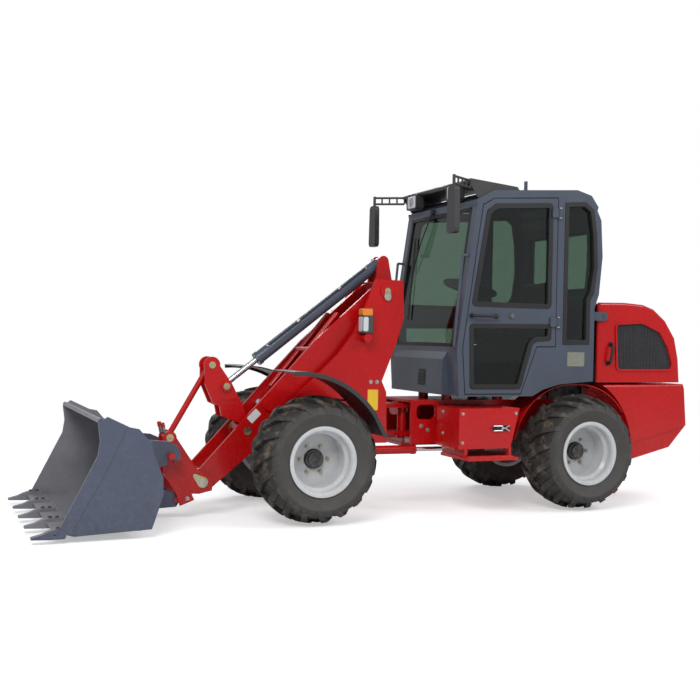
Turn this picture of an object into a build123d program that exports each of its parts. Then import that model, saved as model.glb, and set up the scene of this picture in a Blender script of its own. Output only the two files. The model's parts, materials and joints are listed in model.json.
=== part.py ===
from build123d import *
from math import cos, hypot, radians, sin
import os

os.makedirs("parts", exist_ok=True)

# Compact articulated wheel loader, X forward, Y to its left, Z up, ground at Z = 0.
# The origin lies on the ground, halfway between the bucket's teeth and the counterweight.
# Lengths are in millimetres. Tables of shares hold (share of length, share of height).

# Whole machine
front_axle_x = 628
wheelbase = 1909
track = 1024
axle_height = 387
rear_axle_x = front_axle_x - wheelbase
seat_gap = 0.3
overrun = 5
pivot_setback = 840
pivot_x = front_axle_x - pivot_setback

# Wheels: agricultural tread on a dished steel rim
tyre_width = 380
lug_tip_radius = axle_height
rim_flange_radius = 212
rim_seat_radius = 190
rim_well_radius = 172
rim_well_half = 92
rim_lip = 12
rim_width = 332
rim_wall = 8
disc_inset = 176
disc_thickness = 10
disc_bore_radius = 62
hub_radius = 57
hub_length = 26
hub_cap_radius = 44
hub_cap_length = 14
lug_count = 18
lug_sweep = 110
lug_thickness = 36
lug_foot = 157
carcass_shares = ((0.5, 0.739), (0.46, 0.845), (0.24, 0.905), (0.0, 0.929))
tread_shares = ((0.42, 0.70), (0.5, 0.749), (0.467, 0.866), (0.26, 0.968), (0.0, 1.0))
lug_lead_shares = ((0.0, -0.06), (-0.62, 0.45), (-1.0, 1.02))
lug_trail_shares = ((-1.0, 1.02), (-0.66, 0.42), (0.0, -0.06))
nut_circle_radius = 88
nut_radius = 12
nut_length = 14
nut_count = 6

# Boom: two plates hinged at the tower's top, hitch pivot at the tip
boom_pivot_setback = 615
boom_pivot_height = 1438
boom_reach = 1215
boom_drop = 1216
boom_half_width = 140
boom_plate = 25
boom_pivot_radius = 62
boom_tip_radius = 72
boom_pin_radius = 25
boom_tube_radius = 38
tip_tube_radius = 30
boom_tube_shares = ((0.25, 0.23), (0.860, 0.926))
pipe_shares = ((0.25, 0.125), (0.58, 0.525))
pipe_radius = 11
pipe_y = 62
pipe_pitch = 28
pipe_clamp_radius = 18
lift_eye_share = (0.64, 0.616)
crank_pivot_share = (0.757, 0.749)
boom_upper_shares = ((0.059, -0.022), (0.388, 0.272), (0.64, 0.542), (1.017, 0.947))
boom_lower_shares = ((0.959, 1.047), (0.743, 0.867), (0.588, 0.701), (0.40, 0.50), (-0.037, 0.039))
boom_pivot = (front_axle_x - boom_pivot_setback, boom_pivot_height)
hitch_pivot = (boom_pivot[0] + boom_reach, boom_pivot[1] - boom_drop)

# Bell crank: two plates on the boom, tilt cylinder at mid length, link at the top
crank_length = 215
crank_rise = 412
crank_gap = 100
crank_plate = 15
crank_eye_radius = 52
crank_pin_radius = 22
crank_front_shares = ((0.70, 0.22), (0.76, 0.37), (0.963, 0.42), (1.214, 0.718))
crank_rear_shares = ((0.395, 0.718), (0.107, 0.437), (-0.219, 0.044))
tilt_eye_share = (0.567, 0.677)
crank_pocket_shares = ((0.78, 0.47), (0.24, 0.47), (0.42, 0.26))
crank_pocket_depth = 5
link_width = 36
link_eye_radius = 36
link_eye_length = 70

# Quick hitch: side plates outside the boom, a hook tube on top and lock pins below
hitch_rise = 180
hitch_length = 240
hitch_gap = 300
hitch_plate = 22
hitch_tube_radius = 20
hitch_tube_half = 310
hitch_tube_share = (0.92, 0.99)
hitch_plate_shares = (
    (0.99, 0.92), (1.0, 0.33), (0.66, -0.40), (0.56, -0.78), (0.20, -0.60),
    (0.267, -0.383), (0.083, -0.40), (-0.26, -0.30), (-0.29, 0.12), (0.113, 0.433), (0.5, 0.86),
)
link_eye_ahead = 180
link_eye_rise = 265
hitch_ear_gap = 76
hitch_ear = 18
hitch_ear_radius = 42

# Bucket: a bent sheet between two side plates, with five bolted teeth
bucket_rear_setout = 961
bucket_depth = 565
bucket_height = 640
bucket_floor_height = 34
bucket_half_width = 705
bucket_side = 12
bucket_sheet = 12
bucket_side_shares = (
    (1.0, 0.041), (0.641, 0.668), (0.619, 0.797), (0.641, 0.948), (0.55, 1.0), (0.336, 0.908),
    (0.246, 0.892), (0.168, 0.811), (0.117, 0.786), (0.11, 0.701), (0.004, 0.469),
    (0.0, 0.321), (0.055, 0.164), (0.108, 0.027), (0.848, 0.0),
)
bucket_sheet_shares = (
    (0.60, 0.975), (0.14, 0.77), (0.025, 0.45), (0.025, 0.31), (0.12, 0.02), (0.84, 0.02),
)
bucket_edge_shares = (
    (1.0, 0.041), (0.641, 0.668), (0.619, 0.797), (0.641, 0.948), (0.55, 1.0),
    (0.361, 0.919), (0.577, 0.503), (0.889, 0.011),
)
bucket_side_step = 4
bucket_bend_radius = 77
bucket_lip_share = (0.615, 0.963)
bucket_lip_radius = 14
cutting_edge_share = (0.83, 0.02)
cutting_edge_length = 116
cutting_edge_thickness = 16
bucket_corner = (front_axle_x + bucket_rear_setout, bucket_floor_height)
tooth_count = 5
tooth_pitch = 341
tooth_width = 46
tooth_share = 0.86
tooth_length = 215
tooth_shank = 30
tooth_shares = (
    (0.0, 0.53), (0.0, 0.95), (0.05, 1.1), (0.40, 1.15), (0.56, 0.80), (0.72, 0.25), (1.0, -0.25),
    (1.0, -0.6), (0.55, -0.75), (0.20, -0.7), (0.16, -0.4), (0.16, 0.0), (0.46, 0.0), (0.46, 0.53),
)
bucket_ear = 20
hook_ear_inner = 232
hook_length = 215
hook_rise = 105
hook_shares = ((1.0, 1.0), (0.07, 0.81), (-0.20, 0.57), (-0.29, 0.19), (-0.29, -0.24), (0.77, -1.0))
lock_ear_inner = 120
lock_ear_shares = ((0.05, 0.30), (-0.36, 0.19), (-0.41, 0.12), (-0.37, 0.06), (0.11, 0.04))
lock_pin_share = (-0.365, 0.125)
lock_pin_radius = 14

# Front frame: tower plates outside the boom, joined by cross plates
tower_half_width = 205
tower_plate = 25
tower_setback = 742
tower_length = 742
tower_base_height = 400
tower_height = 1113
tower_shares = (
    (0.288, 0.989), (0.261, 1.0), (0.016, 0.998), (0.0, 0.783), (0.066, 0.633), (0.208, 0.40),
    (0.162, 0.336), (0.148, 0.036), (0.60, 0.036), (0.78, 0.0945), (1.14, 0.0945), (1.20, 0.14), (1.10, 0.25),
    (0.974, 0.338), (0.796, 0.451), (0.633, 0.555), (0.485, 0.681), (0.371, 0.851),
)
tower_corner = (front_axle_x - tower_setback, tower_base_height)
lift_base_share = (0.284, 0.661)
tilt_base_rise = 204
tilt_base_setback = 34
tilt_ear_gap = 96
tilt_ear = 18
tilt_ear_radius = 38
tilt_rod_eye_radius = 29
tower_boss = 6
tower_boss_radius = 50
lift_boss_radius = 36
front_ear_half_width = 80
front_ear_thickness = 30
upper_ear_height = 690
lower_ear_height = 500
pivot_pin_radius = 32

# Cylinders
lift_barrel_radius = 48
lift_rod_radius = 25
tilt_barrel_radius = 41
tilt_rod_radius = 19
steer_barrel_radius = 29
steer_rod_radius = 15
lift_barrel_length = 640
lift_rod_start = 130
lift_eye_radius = 39
tilt_barrel_length = 1090
tilt_rod_start = 760
tilt_retraction = 150
steer_barrel_length = 440
steer_rod_start = 240
steer_retraction = 150
cylinder_eye_radius = 34
cylinder_eye_width = 56
gland_length = 28
gland_rise = 4
steer_height = 392
steer_front_setback = 400
steer_rear_setback = 1085
steer_front_y = 205
steer_rear_y = 210

# Axles
axle_radius = 62
axle_ball_radius = 108
axle_flange_radius = 110
axle_flange_thickness = 24
axle_saddle = 160
frame_bottom = 505

# Fenders and lamps
fender_inner_y = 340
fender_outer_y = 702
fender_sheet = 8
fender_lip = 26
fender_tip = (216, 921)
fender_mid = (-83, 872)
fender_knee = (-332, 665)
fender_end = (-402, 535)
bracket_width = 50
bracket_setback = 285
bracket_height = 728
lamp_setback = 452
lamp_height = 1235
lamp_size = (78, 70, 160)
lamp_round = 10
lamp_bracket_radius = 28

# Rear frame
rail_half_width = 220
rail_plate = 20
rail_top = 720
rail_bottom = 430
rail_front_setback = 800
rail_rear_setback = 2700
rail_slot_setback = 912
rail_slot_length = 140
rail_slot_height = 96
rail_slot_level = 640
deck_plate = 16

# Side boxes and steps
box_front_setback = 952
box_rear_setback = 1401
box_rear_foot_setback = 1335
box_outer_y = 600
box_inner_y = 300
box_top = 690
box_bottom = 430
step_front_setback = 985
step_rear_setback = 1352
step_outer_y = 668
step_top = 440
step_plate = 20
step_drop = 60

# Rear fenders: rows of the angle and the radius about the rear axle
rear_fender_front = ((10, 450), (52, 450), (95, 450))
rear_fender_back = ((122, 485), (150, 511))
rear_fender_sheet = 6
rear_fender_inner_y = 292
rear_fender_outer_y = 445

# Counterweight
cw_half_width = 450
cw_round = 18
cw_crease_shares = ((0.383, 0.241), (1.02, 0.445), (1.02, -0.05), (0.30, -0.05))
cw_crease_depth = 10
cw_inset = 45
cw_tail = 27
cw_base_height = 303
cw_height = 535
cw_shares = ((0.0, 0.994), (0.954, 1.0), (0.97, 0.938), (1.0, 0.443), (0.801, 0.15), (0.347, 0.0), (0.0, 0.15))
arch_radius = 515
cw_core_half_width = 290

# Cab
cab_half_width = 500
cab_side = 40
cab_front_setback = 980
cab_length = 1127
cab_base_height = 750
cab_height = 1410
roof_sheet = 28
cab_side_shares = (
    (0.018, 0.007), (0.0, 0.23), (0.117, 0.895), (0.224, 0.943), (0.806, 0.978), (0.909, 0.957),
    (0.955, 0.907), (0.985, 0.861), (1.0, 0.686), (0.979, 0.501), (0.949, 0.433), (0.949, 0.078),
    (0.705, 0.063), (0.59, 0.038), (0.515, 0.007),
)
roof_top_shares = ((0.112, 0.915), (0.224, 0.964), (0.806, 0.999), (0.909, 0.978), (0.962, 0.925))
roof_low_shares = ((0.955, 0.907), (0.909, 0.957), (0.806, 0.978), (0.224, 0.943), (0.117, 0.895))
door_shares = (
    (0.060, 0.020), (0.040, 0.23), (0.157, 0.892), (0.228, 0.925), (0.668, 0.951),
    (0.668, 0.245), (0.537, 0.243), (0.432, 0.020),
)
upper_pane_shares = ((0.180, 0.868), (0.236, 0.903), (0.635, 0.927), (0.635, 0.423), (0.090, 0.423))
lower_pane_shares = ((0.078, 0.343), (0.640, 0.351), (0.640, 0.271), (0.514, 0.264), (0.431, 0.040), (0.088, 0.040))
quarter_shares = (
    (0.72, 0.935), (0.87, 0.945), (0.93, 0.91), (0.955, 0.791), (0.965, 0.633), (0.94, 0.5),
    (0.915, 0.47), (0.915, 0.256), (0.72, 0.253),
)
door_gap = 6
door_thickness = 34
pane = 5
window_corner = 28
grab_rail_radius = 9
grab_rail_levels = (0.235, 0.657)
grab_rail_outs = (14, 45)
pane_rebate = 8
door_hinge_out = 14
hinge_radius = 10
hinge_height = 60
door_hinge_share = 0.679
hinge_levels = (0.36, 0.88)
floor_plate = 30
floor_rise = 0.007
cab_foot_inset = 110
cab_foot_y = 170
cab_foot_radius = 35
rear_wall = 30
front_panel = 25
windshield_top_share = 0.885
windshield_foot_share = 0.235
front_box_depth = 55
front_box_left = 360
front_box_right = 390
seat_width = 440

beacon_setback = 1584
beacon_y = 330
beacon_rise = 55
beacon_length = 55
beacon_groove = 4
beacon_collar = 30
beacon_collar_radius = 20
beacon_radius = 12

# Hood
hood_half_width = 450
hood_gap = 8
hood_length = 733
hood_base_height = 850
hood_height = 560
hood_sheet = 15
hood_shares = (
    (0.0, 0.991), (0.323, 1.0), (0.543, 0.982), (0.668, 0.929), (0.812, 0.787),
    (0.93, 0.57), (0.98, 0.304), (1.0, 0.0), (0.0, 0.0),
)
grille_shares = ((0.22, 0.72), (0.52, 0.745), (0.73, 0.635), (0.83, 0.45), (0.885, 0.245), (0.87, 0.17), (0.24, 0.165))
grille_recess = 12
grille_sheet = 4
engine_half_width = 190
hood_nose = 30
hood_round = 20
grille_corner = 24
hood_rim_width = 14
hood_rim_rise = 8
grille_pitch = 26
grille_bar = 4
grille_rows = 16
grille_columns = 22
hood_hinge_inset = 40
hood_hinge_rise = 458
hood_lug = 12
hood_lug_radius = 30
hood_boss_radius = 20
hood_lug_reach = 85

# Light bar and mirrors on the roof's front edge
bar_inset = 84
bar_rise = 0
bar_half_width = 482
bar_radius = 16
visor_shares = ((0.13, 0.922875), (0.224, 0.964), (0.404, 0.974825), (0.39, 0.99))
mirror_setback = 877
mirror_y = 600
mirror_depth = 36
mirror_width = 110
mirror_length = 300
mirror_shares = ((-0.42, 0.5), (0.42, 0.5), (0.5, -0.5), (-0.5, -0.5))
mirror_round = 30
ladder_pitch = 45
ladder_rungs = 4
ladder_radius = 8
rung_radius = 6
mirror_post_radius = 10
visor_drop = 9
visor_sheet = 4
visor_sheet_share = 0.75
work_lamp_y = 295
work_lamp_size = (60, 150, 110)
work_lamp_round = 22
work_lamp_bezel = 10
work_lamp_recess = 5
work_lamp_back = 22
mirror_drop = 210


def side_plane(y):
    """A sketch plane that faces the machine's right, with X to its right and Z up."""
    return Plane(origin=(0, y, 0), x_dir=(1, 0, 0), z_dir=(0, -1, 0))


def outline(corner, shares, length, height):
    """Points of an outline, from shares of its length and height."""
    return [(corner[0] + along * length, corner[1] + up * height) for along, up in shares]


def side_face(points, y):
    """A closed outline of straight edges on the side plane at y."""
    with BuildSketch(side_plane(y)) as face:
        with BuildLine():
            Polyline(*points, close=True)
        make_face()
    return face.sketch


def rounded_face(points, y, radius):
    """A closed outline on the side plane at y with its corners rounded."""
    with BuildSketch(side_plane(y)) as face:
        with BuildLine():
            Polyline(*points, close=True)
        make_face()
        fillet(face.vertices(), radius=radius)
    return face.sketch


def rounded_plate(points, outer_y, thickness, radius):
    """A flat plate parallel to the side plane whose outline has rounded corners."""
    return extrude(rounded_face(points, outer_y, radius), amount=thickness, mode=Mode.PRIVATE)


def side_disc(centre, radius, y):
    """A disc on the side plane at y."""
    with BuildSketch(side_plane(y)) as face:
        with Locations(centre):
            Circle(radius)
    return face.sketch


def across(centre, radius, low_y, high_y):
    """A round bar along Y between two widths."""
    return extrude(side_disc(centre, radius, high_y), amount=high_y - low_y, mode=Mode.PRIVATE)


def plate(points, outer_y, thickness):
    """A flat plate parallel to the side plane, below outer_y."""
    return extrude(side_face(points, outer_y), amount=thickness, mode=Mode.PRIVATE)


def rod(start, end, radius, mode=Mode.PRIVATE):
    """A round bar between two points in space."""
    direction = Vector(*end) - Vector(*start)
    with BuildSketch(Plane(origin=start, z_dir=direction)) as section:
        Circle(radius)
    return extrude(section.sketch, amount=direction.length, mode=mode)


def block(low, high, mode=Mode.ADD):
    """Adds a box between two corners to the part that is being built."""
    size = [b - a for a, b in zip(low, high)]
    middle = tuple((a + b) / 2 for a, b in zip(low, high))
    with Locations(middle):
        Box(*size, mode=mode)


def save(part, name):
    """Writes one sub-part under its name."""
    part.label = name
    export_step(part, f"parts/{name}.step")


def along_line(start, end, distance):
    """The point at a distance from start on the way to end, on the side plane."""
    length = hypot(end[0] - start[0], end[1] - start[1])
    share = distance / length
    return (start[0] + (end[0] - start[0]) * share, start[1] + (end[1] - start[1]) * share)


# Places and sizes that follow from the cab and the hood
cab_top = cab_base_height + cab_height
beacon_top = cab_top + beacon_rise
bar_setback = cab_front_setback + bar_inset
bar_height = cab_top + bar_rise
mirror_height = cab_top - mirror_drop
hood_front_setback = cab_front_setback + cab_length + hood_gap
cw_front_setback = hood_front_setback + cw_inset
cw_length = hood_length + cw_tail

# Pivots that follow from the outlines
lift_eye = outline(boom_pivot, [lift_eye_share], boom_reach, -boom_drop)[0]
crank_pivot = outline(boom_pivot, [crank_pivot_share], boom_reach, -boom_drop)[0]
link_top = (crank_pivot[0] + crank_length, crank_pivot[1] + crank_rise)
tilt_eye = outline(crank_pivot, [tilt_eye_share], crank_length, crank_rise)[0]
link_eye = (hitch_pivot[0] + link_eye_ahead, hitch_pivot[1] + link_eye_rise)
hitch_tube = outline(hitch_pivot, [hitch_tube_share], hitch_length, hitch_rise)[0]
lock_pin = outline(bucket_corner, [lock_pin_share], bucket_depth, bucket_height)[0]
lift_base = outline(tower_corner, [lift_base_share], tower_length, tower_height)[0]
tilt_base = (boom_pivot[0] - tilt_base_setback, boom_pivot[1] + tilt_base_rise)
boom_inner = boom_half_width - boom_plate

# Wheels
seat_radius = rim_seat_radius + seat_gap
bead_half = rim_width / 2 - rim_wall - seat_gap
wheel_centre = (front_axle_x, track / 2, axle_height)
wheel_axis = Axis((front_axle_x, 0, axle_height), (0, 1, 0))
disc_low = rim_width / 2 - disc_inset - disc_thickness
disc_face = disc_low + disc_thickness


def revolved(points):
    """A ring turned about the front left wheel's axle, from points (along the axle, radius)."""
    with BuildSketch(Plane(origin=wheel_centre, x_dir=(0, 1, 0), z_dir=(1, 0, 0))) as section:
        with BuildLine():
            Polyline(*points, close=True)
        make_face()
    return revolve(section.sketch, axis=wheel_axis, mode=Mode.PRIVATE)


def both_halves(half):
    """Points of one half of a wheel's profile and the same points of its other half."""
    return half + [(-along, radius) for along, radius in half[::-1] if along > 0]


def tyre_points(shares):
    """Points of a tyre's half profile, from shares of (its width, the radius at its lugs' tips)."""
    return [(along * tyre_width, out * lug_tip_radius) for along, out in shares]


def make_lug(side):
    """One bar of the tread at the wheel's top, swept back from the middle to one shoulder."""
    half = side * tyre_width / 2
    lead = [(back * lug_sweep, out * half) for back, out in lug_lead_shares]
    trail = [(back * lug_sweep - lug_thickness, out * half) for back, out in lug_trail_shares]
    foot = Plane(origin=(front_axle_x, track / 2, axle_height + lug_tip_radius - lug_foot))
    with BuildSketch(foot) as bar:
        with BuildLine():
            Polyline(*lead, *trail, close=True)
        make_face()
    return extrude(bar.sketch, amount=lug_foot + overrun, mode=Mode.PRIVATE)


tread_ring = revolved(both_halves(tyre_points(tread_shares)))
lug_turn = 360 / lug_count
lugs = []
for side, first_turn in ((1, 0), (-1, lug_turn / 2)):
    lug = make_lug(side) & tread_ring
    lugs += [lug.rotate(wheel_axis, first_turn + step * lug_turn) for step in range(lug_count)]
with BuildPart() as tyre:
    add(revolved(both_halves([
        (bead_half, seat_radius),
        (bead_half, rim_flange_radius + rim_wall),
    ] + tyre_points(carcass_shares))))
    add(lugs)

# Rim with a flange on each edge, a drop between its seats, and a flat disc with studs and nuts
rim_edge = rim_width / 2
well_run = rim_seat_radius - rim_well_radius
rim_inside = [
    (rim_edge, rim_flange_radius), (rim_edge, rim_flange_radius - rim_lip),
    (rim_edge - rim_wall / 2, rim_seat_radius - rim_wall / 4),
    (rim_edge - 2 * rim_wall, rim_seat_radius - rim_wall),
    (rim_well_half + well_run, rim_seat_radius - rim_wall), (rim_well_half, rim_well_radius - rim_wall),
]
rim_outside = [
    (rim_edge - rim_wall, rim_flange_radius), (rim_edge - rim_wall, rim_seat_radius),
    (rim_well_half + well_run, rim_seat_radius), (rim_well_half, rim_well_radius),
]
disc_radius = rim_well_radius - rim_wall / 2
with BuildPart() as rim:
    add(revolved(both_halves(rim_inside) + both_halves(rim_outside)[::-1]))
    add(revolved([
        (disc_low, disc_bore_radius), (disc_low, disc_radius),
        (disc_face, disc_radius), (disc_face, disc_bore_radius),
    ]))
    nut_plane = Plane(
        origin=(front_axle_x, track / 2 + disc_face, axle_height), x_dir=(1, 0, 0), z_dir=(0, 1, 0),
    )
    with BuildSketch(nut_plane):
        with PolarLocations(nut_circle_radius, nut_count):
            RegularPolygon(nut_radius, 6)
    extrude(amount=nut_length)
    with BuildSketch(nut_plane):
        with PolarLocations(nut_circle_radius, nut_count):
            Circle(nut_radius / 2)
    extrude(amount=nut_length + overrun)

for axle_x, end_name in ((front_axle_x, "front"), (rear_axle_x, "rear")):
    for side, side_name in ((1, "left"), (-1, "right")):
        place = Location((axle_x - front_axle_x, 0, 0))
        for piece, kind in ((tyre.part, "tyre"), (rim.part, "rim")):
            turned = piece if side > 0 else piece.mirror(Plane.XZ)
            with BuildPart() as placed:
                add(turned.moved(place))
            save(placed.part, f"{kind}_{end_name}_{side_name}")

hub_face_y = track / 2 + disc_low - seat_gap


def make_axle(axle_x, name):
    """A rigid axle with its housing, hub flanges and the saddle that carries the frame."""
    centre = (axle_x, axle_height)
    with BuildPart() as axle:
        add(across(centre, axle_radius, -hub_face_y + axle_flange_thickness, hub_face_y - axle_flange_thickness))
        add(across(centre, axle_flange_radius, hub_face_y - axle_flange_thickness, hub_face_y))
        add(across(centre, axle_flange_radius, -hub_face_y, -hub_face_y + axle_flange_thickness))
        # Hubs through the wheels' discs, with their caps
        for side in (1, -1):
            hub_end = hub_face_y + disc_thickness + hub_length
            for radius, end in ((hub_radius, hub_end), (hub_cap_radius, hub_end + hub_cap_length)):
                add(across(centre, radius, *sorted((side * (hub_face_y - overrun), side * end))))
        with Locations((axle_x, 0, axle_height)):
            Sphere(axle_ball_radius)
        block(
            (axle_x - axle_saddle / 2, -axle_saddle, axle_height),
            (axle_x + axle_saddle / 2, axle_saddle, frame_bottom),
        )
    save(axle.part, name)


make_axle(front_axle_x, "front_axle")
make_axle(rear_axle_x, "rear_axle")

# Front frame
tower_points = outline(tower_corner, tower_shares, tower_length, tower_height)
tower_inner = tower_half_width - tower_plate
base_rear_x = tower_corner[0] + 0.17 * tower_length
base_front_x = tower_corner[0] + 1.10 * tower_length
tilt_ear_outer = tilt_ear_gap / 2 + tilt_ear
tilt_ear_points = [
    (boom_pivot[0] - tower_plate, boom_pivot[1] + boom_pivot_radius + overrun),
    (boom_pivot[0] - 4 * tower_plate, boom_pivot[1] + boom_pivot_radius + overrun),
    (tilt_base[0] - tilt_ear_radius, tilt_base[1]),
    (tilt_base[0] + tilt_ear_radius, tilt_base[1]),
    (boom_pivot[0] + tower_plate, boom_pivot[1] + boom_pivot_radius + overrun),
]


def ear_plate(centre_x, root_x, half_width, top, thickness, hole_radius):
    """A horizontal hinge ear with a round end about the frame's pivot and a hole for its pin."""
    with BuildSketch(Plane.XY.offset(top - thickness)) as ear:
        with Locations(((centre_x + root_x) / 2, 0)):
            Rectangle(abs(centre_x - root_x), 2 * half_width)
        with Locations((centre_x, 0)):
            Circle(half_width)
            Circle(hole_radius, mode=Mode.SUBTRACT)
    return extrude(ear.sketch, amount=thickness, mode=Mode.PRIVATE)


with BuildPart() as front_frame:
    add(plate(tower_points, tower_half_width, tower_plate))
    # Bosses about the boom's pin and the lift cylinder's pin
    for pin_place, boss_radius in ((boom_pivot, tower_boss_radius), (lift_base, lift_boss_radius)):
        add(across(pin_place, boss_radius, tower_half_width - overrun, tower_half_width + tower_boss))
    # Round bracket under the lamp
    lamp_bracket = (front_axle_x - lamp_setback, lamp_height - lamp_size[2] / 2 - seat_gap - lamp_bracket_radius)
    add(across(lamp_bracket, lamp_bracket_radius, tower_half_width - overrun, tower_half_width + lamp_size[1]))
    # Each inner ear holds one end of the tilt cylinder's pin
    add(plate(tilt_ear_points, tilt_ear_outer, tilt_ear))
    add(across(tilt_base, tilt_ear_radius, tilt_ear_gap / 2, tilt_ear_outer))
    mirror(about=Plane.XZ)
    # Cross plates between the tower plates
    block(
        (base_rear_x, -tower_inner - overrun, frame_bottom + seat_gap),
        (base_front_x, tower_inner + overrun, frame_bottom + tower_plate),
    )
    block(
        (base_rear_x, -tower_inner - overrun, lower_ear_height - front_ear_thickness),
        (base_rear_x + tower_plate, tower_inner + overrun, upper_ear_height + tower_plate),
    )
    block(
        (boom_pivot[0] - 4 * tower_plate, -tower_inner - overrun, boom_pivot[1] + boom_pivot_radius + overrun),
        (boom_pivot[0] - 3 * tower_plate, tower_inner + overrun, boom_pivot[1] + boom_pivot_radius + 2 * overrun),
    )
    # Pins of the boom, of the lift cylinder's base and of the tilt cylinder's base
    for pin_place in (boom_pivot, lift_base):
        add(across(pin_place, boom_pin_radius, -tower_half_width - tower_boss, tower_half_width + tower_boss))
    add(across(tilt_base, crank_pin_radius, -tilt_ear_outer, tilt_ear_outer))
    for ear_top in (upper_ear_height, lower_ear_height):
        add(ear_plate(
            pivot_x, base_rear_x + tower_plate, front_ear_half_width, ear_top,
            front_ear_thickness, pivot_pin_radius + seat_gap,
        ))
    # Lug and pin for the steering cylinder's barrel
    add(rod(
        (front_axle_x - steer_front_setback, steer_front_y - tower_plate / 2, steer_height - cylinder_eye_width / 2 - overrun),
        (front_axle_x - steer_front_setback, steer_front_y - tower_plate / 2, frame_bottom),
        steer_rod_radius,
    ))
save(front_frame.part, "front_frame")

# Front fenders and their brackets
fender_points = [(front_axle_x + x, z) for x, z in (fender_tip, fender_mid, fender_knee, fender_end)]
with BuildPart() as front_fenders:
    with BuildSketch(side_plane(fender_outer_y)):
        with BuildLine():
            ThreePointArc(*fender_points[:3])
            Line(fender_points[2], fender_points[3])
            offset(amount=fender_sheet, side=Side.LEFT)
        make_face()
    extrude(amount=fender_outer_y - fender_inner_y)
    # Lip turned down along the outer edge
    with BuildSketch(side_plane(fender_outer_y)):
        with BuildLine():
            ThreePointArc(*fender_points[:3])
            Line(fender_points[2], fender_points[3])
            offset(amount=fender_lip, side=Side.LEFT)
        make_face()
    extrude(amount=fender_sheet)
    block(
        (front_axle_x - bracket_setback, tower_half_width + seat_gap, bracket_height),
        (front_axle_x - bracket_setback + bracket_width, fender_inner_y + bracket_width, bracket_height + fender_sheet),
    )
    mirror(about=Plane.XZ)
save(front_fenders.part, "front_fenders")

# Front lamps on the tower's sides
with BuildPart() as front_lamps:
    block(
        (front_axle_x - lamp_setback - lamp_size[0] / 2, tower_half_width + seat_gap, lamp_height - lamp_size[2] / 2),
        (front_axle_x - lamp_setback + lamp_size[0] / 2, tower_half_width + seat_gap + lamp_size[1], lamp_height + lamp_size[2] / 2),
    )
    fillet(front_lamps.edges(), radius=lamp_round)
    mirror(about=Plane.XZ)
save(front_lamps.part, "front_lamps")

# Boom
boom_points = (
    outline(boom_pivot, boom_upper_shares, boom_reach, -boom_drop)
    + outline(boom_pivot, boom_lower_shares, boom_reach, -boom_drop)
)
boom_tubes = outline(boom_pivot, boom_tube_shares, boom_reach, -boom_drop)
pipe_start, pipe_end = outline(boom_pivot, pipe_shares, boom_reach, -boom_drop)
pipe_middle = ((pipe_start[0] + pipe_end[0]) / 2, (pipe_start[1] + pipe_end[1]) / 2)
with BuildPart() as boom:
    add(plate(boom_points, boom_half_width, boom_plate))
    add(across(boom_pivot, boom_pivot_radius, boom_inner, boom_half_width))
    add(across(hitch_pivot, boom_tip_radius, boom_inner, boom_half_width))
    # Boss over the lift cylinder's pin
    add(across(lift_eye, boom_tube_radius, boom_half_width, boom_half_width + boom_plate / 2))
    add(across(boom_pivot, boom_pin_radius + seat_gap, 0, tower_half_width), mode=Mode.SUBTRACT)
    add(across(hitch_pivot, boom_pin_radius + seat_gap, 0, tower_half_width), mode=Mode.SUBTRACT)
    add(across(crank_pivot, boom_pin_radius + seat_gap, 0, tower_half_width), mode=Mode.SUBTRACT)
    mirror(about=Plane.XZ)
    for tube, tube_radius in zip(boom_tubes, (boom_tube_radius, tip_tube_radius)):
        add(across(tube, tube_radius, -boom_half_width + overrun, boom_half_width - overrun))
    # Hydraulic pipes along the boom between its plates, held in a clamp bar
    for y in (pipe_y, pipe_y + pipe_pitch, -pipe_y, -pipe_y - pipe_pitch):
        add(rod((pipe_start[0], y, pipe_start[1]), (pipe_end[0], y, pipe_end[1]), pipe_radius))
    add(across(pipe_middle, pipe_clamp_radius, -boom_inner - overrun, boom_inner + overrun))
save(boom.part, "boom")

# Pins that turn between the boom, the crank, the link and the hitch
crank_outer = crank_gap / 2 + crank_plate
link_ear_inner = hitch_ear_gap / 2 + overrun
link_ear_outer = link_ear_inner + hitch_ear


def collar_span(side, inner_y):
    """The two widths of a collar that fills the gap up to the boom's plate on one side."""
    return sorted((side * inner_y, side * (boom_inner - seat_gap)))


with BuildPart() as crank_pin:
    add(across(crank_pivot, boom_pin_radius, -boom_half_width - overrun, boom_half_width + overrun))
    # Collars between the crank and the boom
    for side in (1, -1):
        add(across(crank_pivot, crank_eye_radius, *collar_span(side, crank_outer + seat_gap)))
save(crank_pin.part, "crank_pin")
with BuildPart() as link_pin:
    add(across(link_top, crank_pin_radius, -crank_outer - overrun, crank_outer + overrun))
save(link_pin.part, "link_pin")
hitch_inner = hitch_gap / 2
hitch_outer = hitch_inner + hitch_plate
with BuildPart() as hitch_pin:
    add(across(hitch_pivot, boom_pin_radius, -hitch_outer - overrun, hitch_outer + overrun))
    # Collars between the link's ears and the boom
    for side in (1, -1):
        add(across(hitch_pivot, boom_tip_radius, *collar_span(side, link_ear_outer + seat_gap)))
save(hitch_pin.part, "hitch_pin")

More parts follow.
